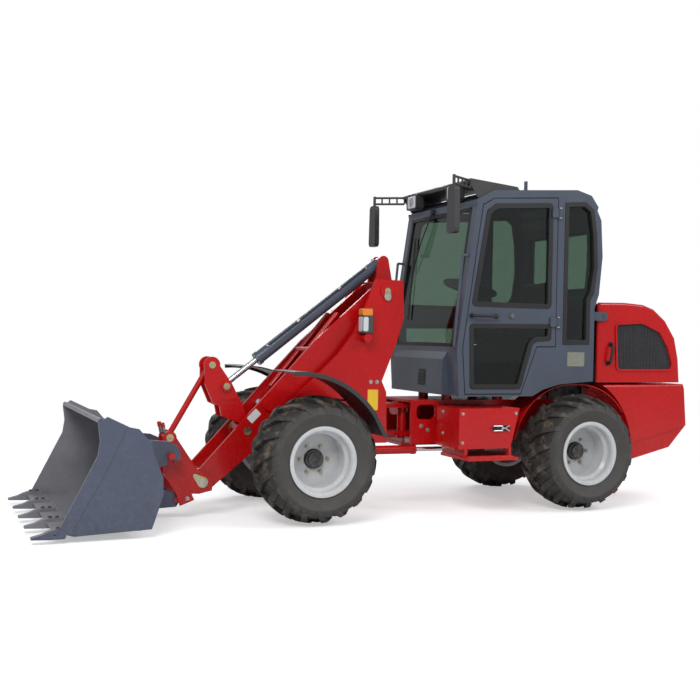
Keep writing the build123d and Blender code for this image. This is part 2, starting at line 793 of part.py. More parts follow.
# Bell crank
crank_points = (
    outline(crank_pivot, crank_front_shares, crank_length, crank_rise)
    + [(link_top[0] + crank_eye_radius * 0.9, link_top[1]), (link_top[0] - crank_eye_radius * 0.9, link_top[1])]
    + outline(crank_pivot, crank_rear_shares, crank_length, crank_rise)
)
with BuildPart() as bell_crank:
    add(plate(crank_points, crank_outer, crank_plate))
    add(across(crank_pivot, crank_eye_radius, crank_gap / 2, crank_outer))
    add(across(link_top, crank_eye_radius, crank_gap / 2, crank_outer))
    # Boss over the tilt cylinder's pin
    add(across(tilt_eye, crank_pin_radius * 1.5, crank_outer - overrun, crank_outer + crank_plate))
    add(across(link_top, crank_pin_radius + seat_gap, 0, crank_outer + overrun), mode=Mode.SUBTRACT)
    # Three-cornered pocket above the crank's pin
    pocket_points = outline(crank_pivot, crank_pocket_shares, crank_length, crank_rise)
    add(plate(pocket_points, crank_outer + overrun, overrun + crank_pocket_depth), mode=Mode.SUBTRACT)
    mirror(about=Plane.XZ)
    # Tube about the crank's pin, which joins the two plates
    add(across(crank_pivot, crank_eye_radius, -crank_gap / 2, crank_gap / 2))
    add(across(crank_pivot, boom_pin_radius + seat_gap, -boom_inner, boom_inner), mode=Mode.SUBTRACT)
save(bell_crank.part, "bell_crank")

# Link rod from the crank's top to the hitch
with BuildPart() as link_rod:
    add(rod((link_top[0], 0, link_top[1]), (link_eye[0], 0, link_eye[1]), link_width / 2))
    for eye in (link_top, link_eye):
        add(across(eye, link_eye_radius, -link_eye_length / 2, link_eye_length / 2))
    add(across(link_top, crank_pin_radius + seat_gap, -link_eye_length, link_eye_length), mode=Mode.SUBTRACT)
save(link_rod.part, "link_rod")

# Quick hitch
hitch_points = outline(hitch_pivot, hitch_plate_shares, hitch_length, hitch_rise)
link_ear_points = [
    (hitch_pivot[0] - hitch_ear_radius, hitch_pivot[1]), (hitch_pivot[0] + hitch_ear_radius, hitch_pivot[1] - hitch_ear_radius),
    (hitch_tube[0] + hitch_tube_radius, hitch_tube[1]), (link_eye[0] + hitch_ear_radius, link_eye[1]),
    (link_eye[0] - hitch_ear_radius, link_eye[1]),
]
with BuildPart() as quick_hitch:
    add(plate(hitch_points, hitch_outer, hitch_plate))
    add(plate(link_ear_points, link_ear_outer, hitch_ear))
    add(across(link_eye, hitch_ear_radius, link_ear_inner, link_ear_outer + overrun))
    # Hook tube outside the link, and the lower lock pin
    add(across(hitch_tube, hitch_tube_radius, link_ear_inner + hitch_ear / 2, hitch_tube_half))
    add(across(lock_pin, lock_pin_radius, lock_ear_inner - 2 * overrun, hitch_inner + overrun))
    mirror(about=Plane.XZ)
    # Sleeve about the boom pin's middle
    add(across(hitch_pivot, hitch_ear_radius, -link_ear_outer, link_ear_outer))
    add(across(hitch_pivot, boom_pin_radius + seat_gap, -hitch_tube_half, hitch_tube_half), mode=Mode.SUBTRACT)
save(quick_hitch.part, "quick_hitch")

# Bucket
bucket_points = outline(bucket_corner, bucket_side_shares, bucket_depth, bucket_height)
bucket_edge_points = outline(bucket_corner, bucket_edge_shares, bucket_depth, bucket_height)
bucket_lip = outline(bucket_corner, [bucket_lip_share], bucket_depth, bucket_height)[0]
edge_x, edge_z = outline(bucket_corner, [cutting_edge_share], bucket_depth, bucket_height)[0]
edge_front_x = edge_x + cutting_edge_length
bucket_clear = bucket_half_width - bucket_side + overrun
sheet_points = outline(bucket_corner, bucket_sheet_shares, bucket_depth, bucket_height)
hook_points = outline(hitch_tube, hook_shares, hook_length, hook_rise)
lock_ear_points = outline(bucket_corner, lock_ear_shares, bucket_depth, bucket_height)
with BuildPart() as bucket:
    add(plate(bucket_points, bucket_half_width - bucket_side_step, bucket_side - bucket_side_step))
    # Thicker strip along the side's front edge
    add(plate(bucket_edge_points, bucket_half_width, bucket_side))
    # Hook over the hitch's tube, open below, and the ear that the lock pin enters
    add(plate(hook_points, hook_ear_inner + bucket_ear, bucket_ear))
    add(across(hitch_tube, hitch_tube_radius + seat_gap, hook_ear_inner, hook_ear_inner + bucket_ear), mode=Mode.SUBTRACT)
    block(
        (hitch_tube[0] - hitch_tube_radius - seat_gap, hook_ear_inner, hitch_tube[1] - hook_rise),
        (hitch_tube[0] + hitch_tube_radius + seat_gap, hook_ear_inner + bucket_ear, hitch_tube[1]),
        mode=Mode.SUBTRACT,
    )
    add(plate(lock_ear_points, lock_ear_inner + bucket_ear, bucket_ear))
    add(across(lock_pin, lock_pin_radius + seat_gap, 0, hook_ear_inner), mode=Mode.SUBTRACT)
    mirror(about=Plane.XZ)
    with BuildSketch(side_plane(bucket_clear)):
        with BuildLine():
            FilletPolyline(*sheet_points, radius=bucket_bend_radius)
            offset(amount=bucket_sheet, side=Side.LEFT)
        make_face()
    extrude(amount=2 * bucket_clear)
    # Rolled lip on the sheet's top end, and the cutting edge on its floor, bevelled below
    add(across(bucket_lip, bucket_lip_radius, -bucket_clear, bucket_clear))
    edge_section = [
        (edge_x, edge_z), (edge_front_x - cutting_edge_thickness, edge_z),
        (edge_front_x, edge_z + cutting_edge_thickness / 2),
        (edge_front_x, edge_z + cutting_edge_thickness), (edge_x, edge_z + cutting_edge_thickness),
    ]
    add(plate(edge_section, bucket_half_width, 2 * bucket_half_width))
    # Forked teeth on the cutting edge
    tooth_start = (bucket_corner[0] + tooth_share * bucket_depth, edge_z)
    for tooth in range(tooth_count):
        tooth_y = (tooth - (tooth_count - 1) / 2) * tooth_pitch + tooth_width / 2
        add(plate(outline(tooth_start, tooth_shares, tooth_length, tooth_shank), tooth_y, tooth_width))
save(bucket.part, "bucket")


def cylinder_parts(base, eye, row, pin_radius, name):
    """A barrel with its base eye, and the rod with its own eye and the pin that it carries."""
    barrel_radius, rod_radius, barrel_length, rod_start, eye_radius, pin_half = row
    end = along_line(base, eye, barrel_length)
    neck = along_line(base, eye, (eye_radius + pin_radius) / 2)
    bore_start = along_line(base, eye, rod_start - retraction - overrun)
    start = along_line(base, eye, rod_start)
    gland = along_line(base, eye, barrel_length - gland_length)
    with BuildPart() as barrel:
        add(rod((neck[0], 0, neck[1]), (end[0], 0, end[1]), barrel_radius))
        # Gland that closes the barrel's end about the rod
        add(rod((gland[0], 0, gland[1]), (end[0], 0, end[1]), barrel_radius + gland_rise))
        add(across(base, eye_radius, -cylinder_eye_width / 2, cylinder_eye_width / 2))
        add(across(base, pin_radius + seat_gap, -cylinder_eye_width, cylinder_eye_width), mode=Mode.SUBTRACT)
        add(rod((bore_start[0], 0, bore_start[1]), (eye[0], 0, eye[1]), rod_radius + seat_gap), mode=Mode.SUBTRACT)
    save(barrel.part, f"{name}_barrel")
    with BuildPart() as piston:
        add(rod((start[0], 0, start[1]), (eye[0], 0, eye[1]), rod_radius))
        add(across(eye, eye_radius, -cylinder_eye_width / 2, cylinder_eye_width / 2))
        add(across(eye, pin_radius, -pin_half, pin_half))
    save(piston.part, f"{name}_rod")


# Rows of barrel radius, rod radius, barrel length, start of the rod, eye radius, half length of its pin
retraction = 0
cylinder_parts(
    lift_base, lift_eye,
    (lift_barrel_radius, lift_rod_radius, lift_barrel_length, lift_rod_start, lift_eye_radius, boom_inner - overrun),
    boom_pin_radius, "lift",
)
retraction = tilt_retraction
cylinder_parts(
    tilt_base, tilt_eye,
    (tilt_barrel_radius, tilt_rod_radius, tilt_barrel_length, tilt_rod_start, tilt_rod_eye_radius, crank_gap / 2 - overrun),
    crank_pin_radius, "tilt",
)

# Steering cylinder on the left, under the frames
steer_y = steer_front_y - tower_plate / 2
steer_front = (front_axle_x - steer_front_setback, steer_y, steer_height)
steer_rear = (front_axle_x - steer_rear_setback, steer_rear_y, steer_height)
steer_direction = (Vector(*steer_rear) - Vector(*steer_front)).normalized()


def steer_point(distance):
    """A point on the steering cylinder's axis at a distance from its front pin."""
    return tuple(Vector(*steer_front) + steer_direction * distance)


def upright(centre, radius, height):
    """A round bar along Z about a centre."""
    low = (centre[0], centre[1], centre[2] - height / 2)
    high = (centre[0], centre[1], centre[2] + height / 2)
    return rod(low, high, radius)


with BuildPart() as steering_barrel:
    add(rod(steer_point(steer_rod_radius + 2 * overrun), steer_point(steer_barrel_length), steer_barrel_radius))
    add(rod(
        steer_point(steer_barrel_length - gland_length), steer_point(steer_barrel_length),
        steer_barrel_radius + gland_rise,
    ))
    add(upright(steer_front, cylinder_eye_radius - overrun, cylinder_eye_width - overrun))
    add(upright(steer_front, steer_rod_radius + seat_gap, 2 * cylinder_eye_width), mode=Mode.SUBTRACT)
    add(rod(steer_point(steer_rod_start - steer_retraction - overrun), steer_rear, steer_rod_radius + seat_gap), mode=Mode.SUBTRACT)
save(steering_barrel.part, "steering_barrel")
with BuildPart() as steering_rod:
    add(rod(steer_point(steer_rod_start), steer_rear, steer_rod_radius))
    add(upright(steer_rear, cylinder_eye_radius - overrun, cylinder_eye_width - 2 * overrun))
save(steering_rod.part, "steering_rod")

# Rear frame
cab_corner = (front_axle_x - cab_front_setback, cab_base_height)
rail_front_x = front_axle_x - rail_front_setback
rail_rear_x = front_axle_x - rail_rear_setback
rail_step_x = front_axle_x - steer_rear_setback - 2 * cylinder_eye_width
rail_inner = rail_half_width - rail_plate
rail_points = [
    (rail_front_x, rail_top), (rail_rear_x, rail_top), (rail_rear_x, frame_bottom),
    (rail_step_x - cylinder_eye_width, frame_bottom), (rail_step_x, rail_bottom), (rail_front_x, rail_bottom),
]
with BuildPart() as rear_frame:
    add(plate(rail_points, rail_half_width, rail_plate))
    mirror(about=Plane.XZ)
    # Slot for hoses in each side plate
    with BuildSketch(side_plane(rail_half_width + overrun)):
        with Locations((front_axle_x - rail_slot_setback, rail_slot_level)):
            RectangleRounded(rail_slot_length, rail_slot_height, rail_slot_height / 3)
    extrude(amount=2 * (rail_half_width + overrun), mode=Mode.SUBTRACT)
    block((rail_rear_x, -rail_half_width, rail_top - deck_plate), (rail_front_x, rail_half_width, rail_top))
    block((rail_rear_x, -rail_inner - overrun, frame_bottom + seat_gap), (rail_step_x, rail_inner + overrun, frame_bottom + deck_plate))
    lower_deck = lower_ear_height - front_ear_thickness - overrun
    block(
        (rail_step_x, -rail_inner - overrun, lower_deck - deck_plate),
        (pivot_x + overrun, rail_inner + overrun, lower_deck),
    )
    add(rod((pivot_x, 0, lower_deck - deck_plate), (pivot_x, 0, rail_top), pivot_pin_radius))
    # Boss over the steering rod's eye
    add(rod(
        (steer_rear[0], steer_rear[1], steer_height + cylinder_eye_width / 2),
        (steer_rear[0], steer_rear[1], rail_bottom + overrun), steer_rod_radius,
    ))
    # Rubber feet under the cab's floor
    for foot_x in (cab_corner[0] - cab_foot_inset, cab_corner[0] - cab_length / 2 + cab_foot_inset / 2):
        for side in (1, -1):
            add(rod(
                (foot_x, side * cab_foot_y, rail_top - overrun),
                (foot_x, side * cab_foot_y, cab_corner[1] + floor_rise * cab_height), cab_foot_radius,
            ))
save(rear_frame.part, "rear_frame")

# Engine, one block inside the hood
with BuildPart() as engine_block:
    block(
        (front_axle_x - cw_front_setback - hood_length * 0.7, -engine_half_width, rail_top),
        (front_axle_x - hood_front_setback - 3 * hood_sheet, engine_half_width, hood_base_height + 0.72 * hood_height),
    )
save(engine_block.part, "engine_block")

# Counterweight
hood_corner = (front_axle_x - hood_front_setback, hood_base_height)
hood_hinge = (hood_corner[0] - hood_hinge_inset, hood_base_height + hood_hinge_rise)
cw_corner = (front_axle_x - cw_front_setback, cw_base_height)
cw_points = outline(cw_corner, cw_shares, -cw_length, cw_height)
crease_points = outline(cw_corner, cw_crease_shares, -cw_length, cw_height)


def outer_edges(part, half_width, corner):
    """The edges of a body's two side faces, without those on its bottom and its front."""
    return [
        edge for edge in part.edges()
        if abs(edge.center().Y) > half_width - seat_gap
        and edge.center().Z > corner[1] + overrun
        and edge.center().X < corner[0] - overrun
    ]


with BuildPart() as counterweight:
    add(plate(cw_points, cw_half_width, 2 * cw_half_width))
    fillet(outer_edges(counterweight, cw_half_width, cw_corner), radius=cw_round)
    # Each side is set in below a crease
    for outer_y in (cw_half_width + overrun, -cw_half_width + cw_crease_depth):
        add(plate(crease_points, outer_y, cw_crease_depth + overrun), mode=Mode.SUBTRACT)
    add(across((rear_axle_x, axle_height), arch_radius, cw_core_half_width, cw_half_width + overrun), mode=Mode.SUBTRACT)
    add(across((rear_axle_x, axle_height), arch_radius, -cw_half_width - overrun, -cw_core_half_width), mode=Mode.SUBTRACT)
    # Room for the frame's tail between the counterweight's halves
    block(
        (rail_rear_x - seat_gap, -rail_half_width - seat_gap, 0),
        (rear_axle_x, rail_half_width + seat_gap, 2 * rail_top), mode=Mode.SUBTRACT,
    )
save(counterweight.part, "counterweight")

# Rear fenders over the wheels, between the frame and the counterweight


def about_rear_axle(angle, radius):
    """The point at an angle and a distance from the rear axle, on the side plane."""
    turn = radians(angle)
    return (rear_axle_x + radius * cos(turn), axle_height + radius * sin(turn))


front_arc = [about_rear_axle(*row) for row in rear_fender_front]
back_arc = [front_arc[-1]] + [about_rear_axle(*row) for row in rear_fender_back]
with BuildPart() as rear_fenders:
    with BuildSketch(side_plane(rear_fender_outer_y)):
        with BuildLine():
            ThreePointArc(*front_arc)
            ThreePointArc(*back_arc)
            offset(amount=rear_fender_sheet, side=Side.LEFT)
        make_face()
    extrude(amount=rear_fender_outer_y - rear_fender_inner_y)
    with BuildSketch(side_plane(rear_fender_inner_y)):
        with BuildLine():
            ThreePointArc(*front_arc)
            offset(amount=rear_fender_sheet, side=Side.LEFT)
        make_face()
    extrude(amount=rear_fender_inner_y - rail_half_width - seat_gap)
    mirror(about=Plane.XZ)
save(rear_fenders.part, "rear_fenders")

# Side boxes with their steps
box_points = [
    (front_axle_x - box_front_setback, box_top), (front_axle_x - box_rear_setback, box_top),
    (front_axle_x - box_rear_foot_setback, box_bottom), (front_axle_x - box_front_setback, box_bottom),
]
with BuildPart() as side_boxes:
    add(plate(box_points, box_outer_y, box_outer_y - box_inner_y))
    block(
        (front_axle_x - step_rear_setback, box_inner_y, step_top - step_drop - step_plate),
        (front_axle_x - step_front_setback, step_outer_y, step_top - step_drop),
    )
    for step_x in (step_rear_setback - step_plate, step_front_setback + step_plate):
        block(
            (front_axle_x - step_x - step_plate / 2, box_inner_y, step_top - step_drop - overrun),
            (front_axle_x - step_x + step_plate / 2, box_outer_y, box_bottom + overrun),
        )
    # Brackets to the frame's side plates
    block(
        (front_axle_x - step_rear_setback + step_plate, rail_half_width, box_bottom + 2 * step_drop),
        (front_axle_x - step_front_setback - step_plate, box_inner_y + overrun, box_bottom + 2 * step_drop + step_plate),
    )
    mirror(about=Plane.XZ)
save(side_boxes.part, "side_boxes")

# Cab
side_inner = cab_half_width - cab_side
cab_points = outline(cab_corner, cab_side_shares, -cab_length, cab_height)
door_points = outline(cab_corner, door_shares, -cab_length, cab_height)
upper_points = outline(cab_corner, upper_pane_shares, -cab_length, cab_height)
lower_points = outline(cab_corner, lower_pane_shares, -cab_length, cab_height)
quarter_points = outline(cab_corner, quarter_shares, -cab_length, cab_height)


front_line = outline(cab_corner, ((0.018, 0.007), (0.0, 0.23), (0.117, 0.895)), -cab_length, cab_height)


def front_point(level):
    """The front face's point at a share of the cab's height, on the side plane."""
    z = cab_corner[1] + level * cab_height
    low, high = (front_line[0], front_line[1]) if z < front_line[1][1] else (front_line[1], front_line[2])
    share = (z - low[1]) / (high[1] - low[1])
    return (low[0] + share * (high[0] - low[0]), z)


def grown(points, amount, y, thickness):
    """A plate whose outline is moved out by an amount, or in where it is negative."""
    face = offset(side_face(points, y), amount=amount, kind=Kind.INTERSECTION, mode=Mode.PRIVATE)
    return extrude(face, amount=thickness, dir=(0, -1, 0), mode=Mode.PRIVATE)


def rounded_grown(points, amount, y, thickness, radius):
    """A plate with rounded corners whose outline is moved out by an amount."""
    face = offset(rounded_face(points, y, radius), amount=amount, mode=Mode.PRIVATE)
    return extrude(face, amount=thickness, dir=(0, -1, 0), mode=Mode.PRIVATE)


with BuildPart() as cab_side_frames:
    add(plate(cab_points, cab_half_width, cab_side))
    add(grown(door_points, door_gap, cab_half_width + overrun, cab_side + 2 * overrun), mode=Mode.SUBTRACT)
    quarter_cut = rounded_plate(quarter_points, cab_half_width + overrun, cab_side + 2 * overrun, window_corner)
    add(quarter_cut, mode=Mode.SUBTRACT)
    # Grab rail in front of the pillar, on a foot at each end
    rail_y = cab_half_width - cab_side / 2
    rail_ends = []
    for level, out in zip(grab_rail_levels, grab_rail_outs):
        pillar_x, z = front_point(level)
        rail_ends.append((pillar_x + out, rail_y, z))
        add(rod(rail_ends[-1], (pillar_x - overrun, rail_y, z), grab_rail_radius))
    add(rod(*rail_ends, grab_rail_radius))
    # Lug and pin that carry the hood
    lug_low = cab_half_width - cab_side + seat_gap
    add(across(hood_hinge, hood_lug_radius, lug_low, lug_low + hood_lug))
    block(
        (hood_hinge[0], lug_low, hood_hinge[1] - hood_lug_radius),
        (cab_corner[0] - cab_length + hood_lug_reach, lug_low + hood_lug, hood_hinge[1] + hood_lug_radius),
    )
    add(across(hood_hinge, hood_boss_radius, hood_half_width + seat_gap, lug_low + overrun))
    add(across(hood_hinge, hinge_radius, hood_half_width - 2 * hood_sheet, lug_low + hood_lug + overrun))
    mirror(about=Plane.XZ)
save(cab_side_frames.part, "cab_side_frames")

hinge_line = (cab_corner[0] - door_hinge_share * cab_length, cab_half_width + door_hinge_out)


def make_door(side, name):
    """A door with its two window openings and the knuckles of its hinges, and its panes."""
    low_y, high_y = cab_half_width - door_thickness, cab_half_width
    with BuildPart() as door:
        add(plate(door_points, high_y, door_thickness))
        for points in (upper_points, lower_points):
            pane_cut = rounded_plate(points, high_y + overrun, door_thickness + 2 * overrun, window_corner)
            add(pane_cut, mode=Mode.SUBTRACT)
        for level in hinge_levels:
            z = cab_corner[1] + level * cab_height
            add(upright((hinge_line[0], hinge_line[1], z), hinge_radius, hinge_height))
            block(
                (hinge_line[0], high_y + seat_gap, z - hinge_height / 2),
                (hinge_line[0] + 6 * hinge_radius, hinge_line[1], z + hinge_height / 2),
            )
            block(
                (door_points[4][0] + overrun, high_y - overrun, z - hinge_height / 2),
                (hinge_line[0] + 6 * hinge_radius, hinge_line[1], z + hinge_height / 2),
            )
    shape = door.part if side > 0 else door.part.mirror(Plane.XZ)
    save(shape, f"door_{name}")
    middle_y = (low_y + high_y) / 2 + pane / 2
    with BuildPart() as glass:
        for points in (upper_points, lower_points):
            add(rounded_plate(points, middle_y, pane, window_corner))
    shape = glass.part if side > 0 else glass.part.mirror(Plane.XZ)
    save(shape, f"door_{name}_glass")


make_door(1, "left")
make_door(-1, "right")

def front_strip(low_level, high_level, inset, thickness):
    """A quadrilateral strip of the cab's front between two levels."""
    low, high = front_point(low_level), front_point(high_level)
    return [
        (low[0] - inset, low[1]), (high[0] - inset, high[1]),
        (high[0] - inset - thickness, high[1]), (low[0] - inset - thickness, low[1]),
    ]


with BuildPart() as cab_front:
    add(plate(front_strip(0.007, windshield_foot_share, 0, front_panel), side_inner, 2 * side_inner))
    add(plate(front_strip(windshield_top_share, 0.895, 0, front_panel), side_inner, 2 * side_inner))
    for side in (1, -1):
        edge = side_inner if side > 0 else -side_inner + front_panel
        add(plate(front_strip(windshield_foot_share, windshield_top_share, 0, front_panel), edge, front_panel))
    # Cover in front of the lower panel
    low, high = front_point(0.01), front_point(0.215)
    add(plate(
        [
            (low[0] - overrun, low[1]), (high[0] - overrun, high[1]),
            (high[0] + front_box_depth / 2, high[1] - front_box_depth), (low[0] + front_box_depth, low[1]),
        ],
        front_box_left, front_box_left + front_box_right,
    ))
save(cab_front.part, "cab_front")

rear_shares = ((1.0, 0.686), (0.979, 0.501), (0.949, 0.433), (0.949, 0.078))
rear_points = outline(cab_corner, ((0.955, 0.907), (0.985, 0.861)) + rear_shares, -cab_length, cab_height)
rear_back = [(x + rear_wall, z) for x, z in rear_points[::-1]]
window_low, window_high, rear_window_share = 0.52, 0.82, 0.8
rear_pane_x = rear_points[2][0] + rear_wall / 2
with BuildPart() as cab_rear_wall:
    add(plate(rear_points + rear_back, side_inner, 2 * side_inner))
    block(
        (rear_pane_x - 2 * rear_wall, -rear_window_share * side_inner, cab_corner[1] + window_low * cab_height),
        (rear_pane_x + 2 * rear_wall, rear_window_share * side_inner, cab_corner[1] + window_high * cab_height),
        mode=Mode.SUBTRACT,
    )
save(cab_rear_wall.part, "cab_rear_wall")

floor_points = outline(
    cab_corner, ((0.048, 0.007), (0.515, 0.007), (0.59, 0.038), (0.705, 0.063), (0.915, 0.078)), -cab_length, cab_height,
)
floor_top = [(x, z + floor_plate) for x, z in floor_points[::-1]]
seat_rear_x = cab_corner[0] - 0.88 * cab_length
seat_front_x = cab_corner[0] - 0.50 * cab_length
seat_base_top = cab_corner[1] + 0.27 * cab_height
column_foot = (cab_corner[0] - 0.16 * cab_length, 0, cab_corner[1] + floor_plate)
column_top = (cab_corner[0] - 0.33 * cab_length, 0, cab_corner[1] + 0.52 * cab_height)
with BuildPart() as cab_floor:
    add(plate(floor_points + floor_top, side_inner, 2 * side_inner))
    block(
        (seat_rear_x, -seat_width / 2, cab_corner[1] + 2 * floor_plate),
        (seat_front_x, seat_width / 2, seat_base_top),
    )
    add(rod(column_foot, column_top, floor_plate))
    wheel_tilt = Plane(origin=column_top, z_dir=Vector(*column_top) - Vector(*column_foot))
    with BuildSketch(wheel_tilt):
        Circle(0.16 * cab_length)
    extrude(amount=hinge_radius)
save(cab_floor.part, "cab_floor")

roof_points = outline(cab_corner, roof_top_shares + roof_low_shares, -cab_length, cab_height)
with BuildPart() as cab_roof:
    add(plate(roof_points, cab_half_width, 2 * cab_half_width))
    # Upright stem for a beacon
    beacon_x = front_axle_x - beacon_setback
    groove = beacon_top - beacon_length
    collar_top = groove - beacon_groove
    add(rod((beacon_x, beacon_y, collar_top - beacon_collar), (beacon_x, beacon_y, collar_top), beacon_collar_radius))
    add(rod((beacon_x, beacon_y, collar_top), (beacon_x, beacon_y, groove), beacon_radius - beacon_groove / 2))
    add(rod((beacon_x, beacon_y, groove), (beacon_x, beacon_y, beacon_top), beacon_radius))
save(cab_roof.part, "cab_roof")

with BuildPart() as cab_glass:
    add(plate(front_strip(windshield_foot_share, windshield_top_share, pane_rebate, pane), side_inner - front_panel, 2 * (side_inner - front_panel)))
    block(
        (rear_pane_x - pane, -rear_window_share * side_inner, cab_corner[1] + window_low * cab_height),
        (rear_pane_x, rear_window_share * side_inner, cab_corner[1] + window_high * cab_height),
    )
    for outer_y in (cab_half_width - cab_side / 2, -cab_half_width + cab_side / 2):
        add(rounded_plate(quarter_points, outer_y, pane, window_corner))
save(cab_glass.part, "cab_glass")

with BuildPart() as seat:
    block(
        (seat_rear_x + 2 * seat_gap, -seat_width / 2, seat_base_top + seat_gap),
        (seat_front_x + floor_plate, seat_width / 2, seat_base_top + 4 * floor_plate),
    )
    block(
        (seat_rear_x + 2 * seat_gap, -seat_width / 2, seat_base_top + 4 * floor_plate),
        (seat_rear_x + 4 * floor_plate, seat_width / 2, cab_corner[1] + 0.58 * cab_height),
    )
save(seat.part, "seat")

# Light bar across the roof's front edge, with the mirrors on its ends
bar_x = front_axle_x - bar_setback
visor_points = outline(cab_corner, visor_shares, -cab_length, cab_height) + [
    (bar_x, bar_height + bar_radius), (bar_x + bar_radius, bar_height),
]
mirror_x = front_axle_x - mirror_setback
visor_back, visor_top = visor_points[3:5]


def facing_front(x, y, z):
    """A sketch plane that faces forward, with its X along the machine's Y and its Y up."""
    return Plane(origin=(x, y, z), x_dir=(0, 1, 0), z_dir=(1, 0, 0))


def ladder_point(side, share, drop):
    """A point on the arm from the bar's end to the mirror's post, at a drop below the bar."""
    x = bar_x + share * (mirror_x - bar_x)
    return (x, side * (bar_half_width + share * (mirror_y - bar_half_width)), bar_height - drop)


with BuildPart() as light_bar:
    add(rod((bar_x, -bar_half_width, bar_height), (bar_x, bar_half_width, bar_height), bar_radius))
    for side in (1, -1):
        # Ladder arm of two rails with its rungs, and the post that the mirror hangs on
        for drop in (0, ladder_pitch):
            add(rod(ladder_point(side, 0, drop), ladder_point(side, 1, drop), ladder_radius))
        for rung in range(ladder_rungs):
            share = rung / ladder_rungs
            add(rod(ladder_point(side, share, 0), ladder_point(side, share, ladder_pitch), rung_radius))
        post_top = ladder_point(side, 1, -mirror_post_radius)
        add(rod(post_top, (mirror_x, side * mirror_y, mirror_height), mirror_post_radius))
        with BuildSketch(facing_front(mirror_x - mirror_depth / 2, side * mirror_y, mirror_height)) as housing:
            with BuildLine():
                Polyline(*outline((0, 0), mirror_shares, mirror_width, mirror_length), close=True)
            make_face()
            fillet(housing.vertices(), radius=mirror_round)
        extrude(amount=mirror_depth)
        # Side plate along the roof that carries the bar
        add(plate(visor_points, side * bar_half_width + hinge_radius / 2, hinge_radius))
        # Work lamp under the bar, its lens set in behind a bezel
        back, width, height = work_lamp_size
        lamp_z = bar_height - height / 2
        with BuildSketch(facing_front(bar_x - work_lamp_back, side * work_lamp_y, lamp_z)):
            RectangleRounded(width, height, work_lamp_round)
        extrude(amount=back)
        with BuildSketch(facing_front(bar_x - work_lamp_back + back, side * work_lamp_y, lamp_z)):
            RectangleRounded(width - 2 * work_lamp_bezel, height - 2 * work_lamp_bezel, work_lamp_round - work_lamp_bezel)
        extrude(amount=-work_lamp_recess, mode=Mode.SUBTRACT)
    # Visor sheet between the side plates, from the bar back over the roof
    sheet_back = along_line(visor_top, visor_back, visor_sheet_share * (visor_top[0] - visor_back[0]))
    visor_sheet_points = [
        (visor_top[0], visor_top[1] - visor_drop), (sheet_back[0], sheet_back[1] - visor_drop),
        (sheet_back[0], sheet_back[1] - visor_drop - visor_sheet),
        (visor_top[0], visor_top[1] - visor_drop - visor_sheet),
    ]
    add(plate(visor_sheet_points, bar_half_width, 2 * bar_half_width))
save(light_bar.part, "light_bar")

# Hood, a hollow lid over the engine
hood_points = outline(hood_corner, hood_shares, -hood_length, hood_height)
grille_points = outline(hood_corner, grille_shares, -hood_length, hood_height)
with BuildPart() as hood:
    add(plate(hood_points, hood_half_width, 2 * hood_half_width))
    fillet(hood.edges().filter_by(Axis.Y).group_by(Axis.X)[-1].sort_by(Axis.Z)[-1], radius=hood_nose)
    fillet(outer_edges(hood, hood_half_width, hood_corner), radius=hood_round)
    inner_width = 2 * (hood_half_width - hood_sheet)
    add(grown(hood_points[:-1] + [hood_corner], -hood_sheet, hood_half_width - hood_sheet, inner_width), mode=Mode.SUBTRACT)
    # Open below and in front
    block(
        (hood_points[7][0] + hood_sheet, -inner_width / 2, hood_corner[1] - overrun),
        (hood_corner[0] + overrun, inner_width / 2, hood_corner[1] + 2 * hood_sheet), mode=Mode.SUBTRACT,
    )
    block(
        (hood_corner[0] - 2 * hood_sheet, -inner_width / 2, hood_corner[1]),
        (hood_corner[0] + overrun, inner_width / 2, hood_points[0][1] - hood_sheet), mode=Mode.SUBTRACT,
    )
    # Grille openings, each inside a raised rim
    for outer_y in (hood_half_width + hood_rim_rise, -hood_half_width + overrun):
        add(rounded_grown(grille_points, hood_rim_width, outer_y, hood_rim_rise + overrun, grille_corner))
    for outer_y in (hood_half_width + 2 * hood_rim_rise, -hood_half_width + 2 * hood_sheet):
        grille_cut = rounded_plate(grille_points, outer_y, 2 * (hood_sheet + hood_rim_rise), grille_corner)
        add(grille_cut, mode=Mode.SUBTRACT)
    # Holes for the pins that hang it on the cab
    add(across(hood_hinge, hinge_radius + seat_gap, -hood_half_width - overrun, hood_half_width + overrun), mode=Mode.SUBTRACT)
save(hood.part, "hood")

grille_y = hood_half_width - grille_recess
grille_centre = outline(hood_corner, [(0.55, 0.45)], -hood_length, hood_height)[0]
with BuildPart() as hood_grilles:
    add(rounded_plate(grille_points, grille_y, grille_sheet, grille_corner))
    # Crossed bars on the sheet's outer face
    with BuildSketch(side_plane(grille_y + grille_bar)):
        with Locations(grille_centre):
            with GridLocations(0, grille_pitch, 1, grille_rows):
                Rectangle(hood_length, grille_bar)
            with GridLocations(grille_pitch, 0, grille_columns, 1):
                Rectangle(grille_bar, hood_height)
        add(rounded_face(grille_points, grille_y + grille_bar, grille_corner), mode=Mode.INTERSECT)
    extrude(amount=grille_bar + grille_sheet / 2)
    mirror(about=Plane.XZ)
save(hood_grilles.part, "hood_grilles")
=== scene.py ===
# %% [markdown]
# A compact articulated wheel loader, dressed for a picture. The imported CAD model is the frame: its pieces keep
# their places, and this script gives each one a finish and adds the small things that CAD leaves out, such as
# bolts, seals, lamps' lenses and the mesh of the grilles. Everything is in metres, X forward, Z up.

# %% Load the frame
import json
import math
import bmesh
import bpy
from mathutils import Matrix, Vector


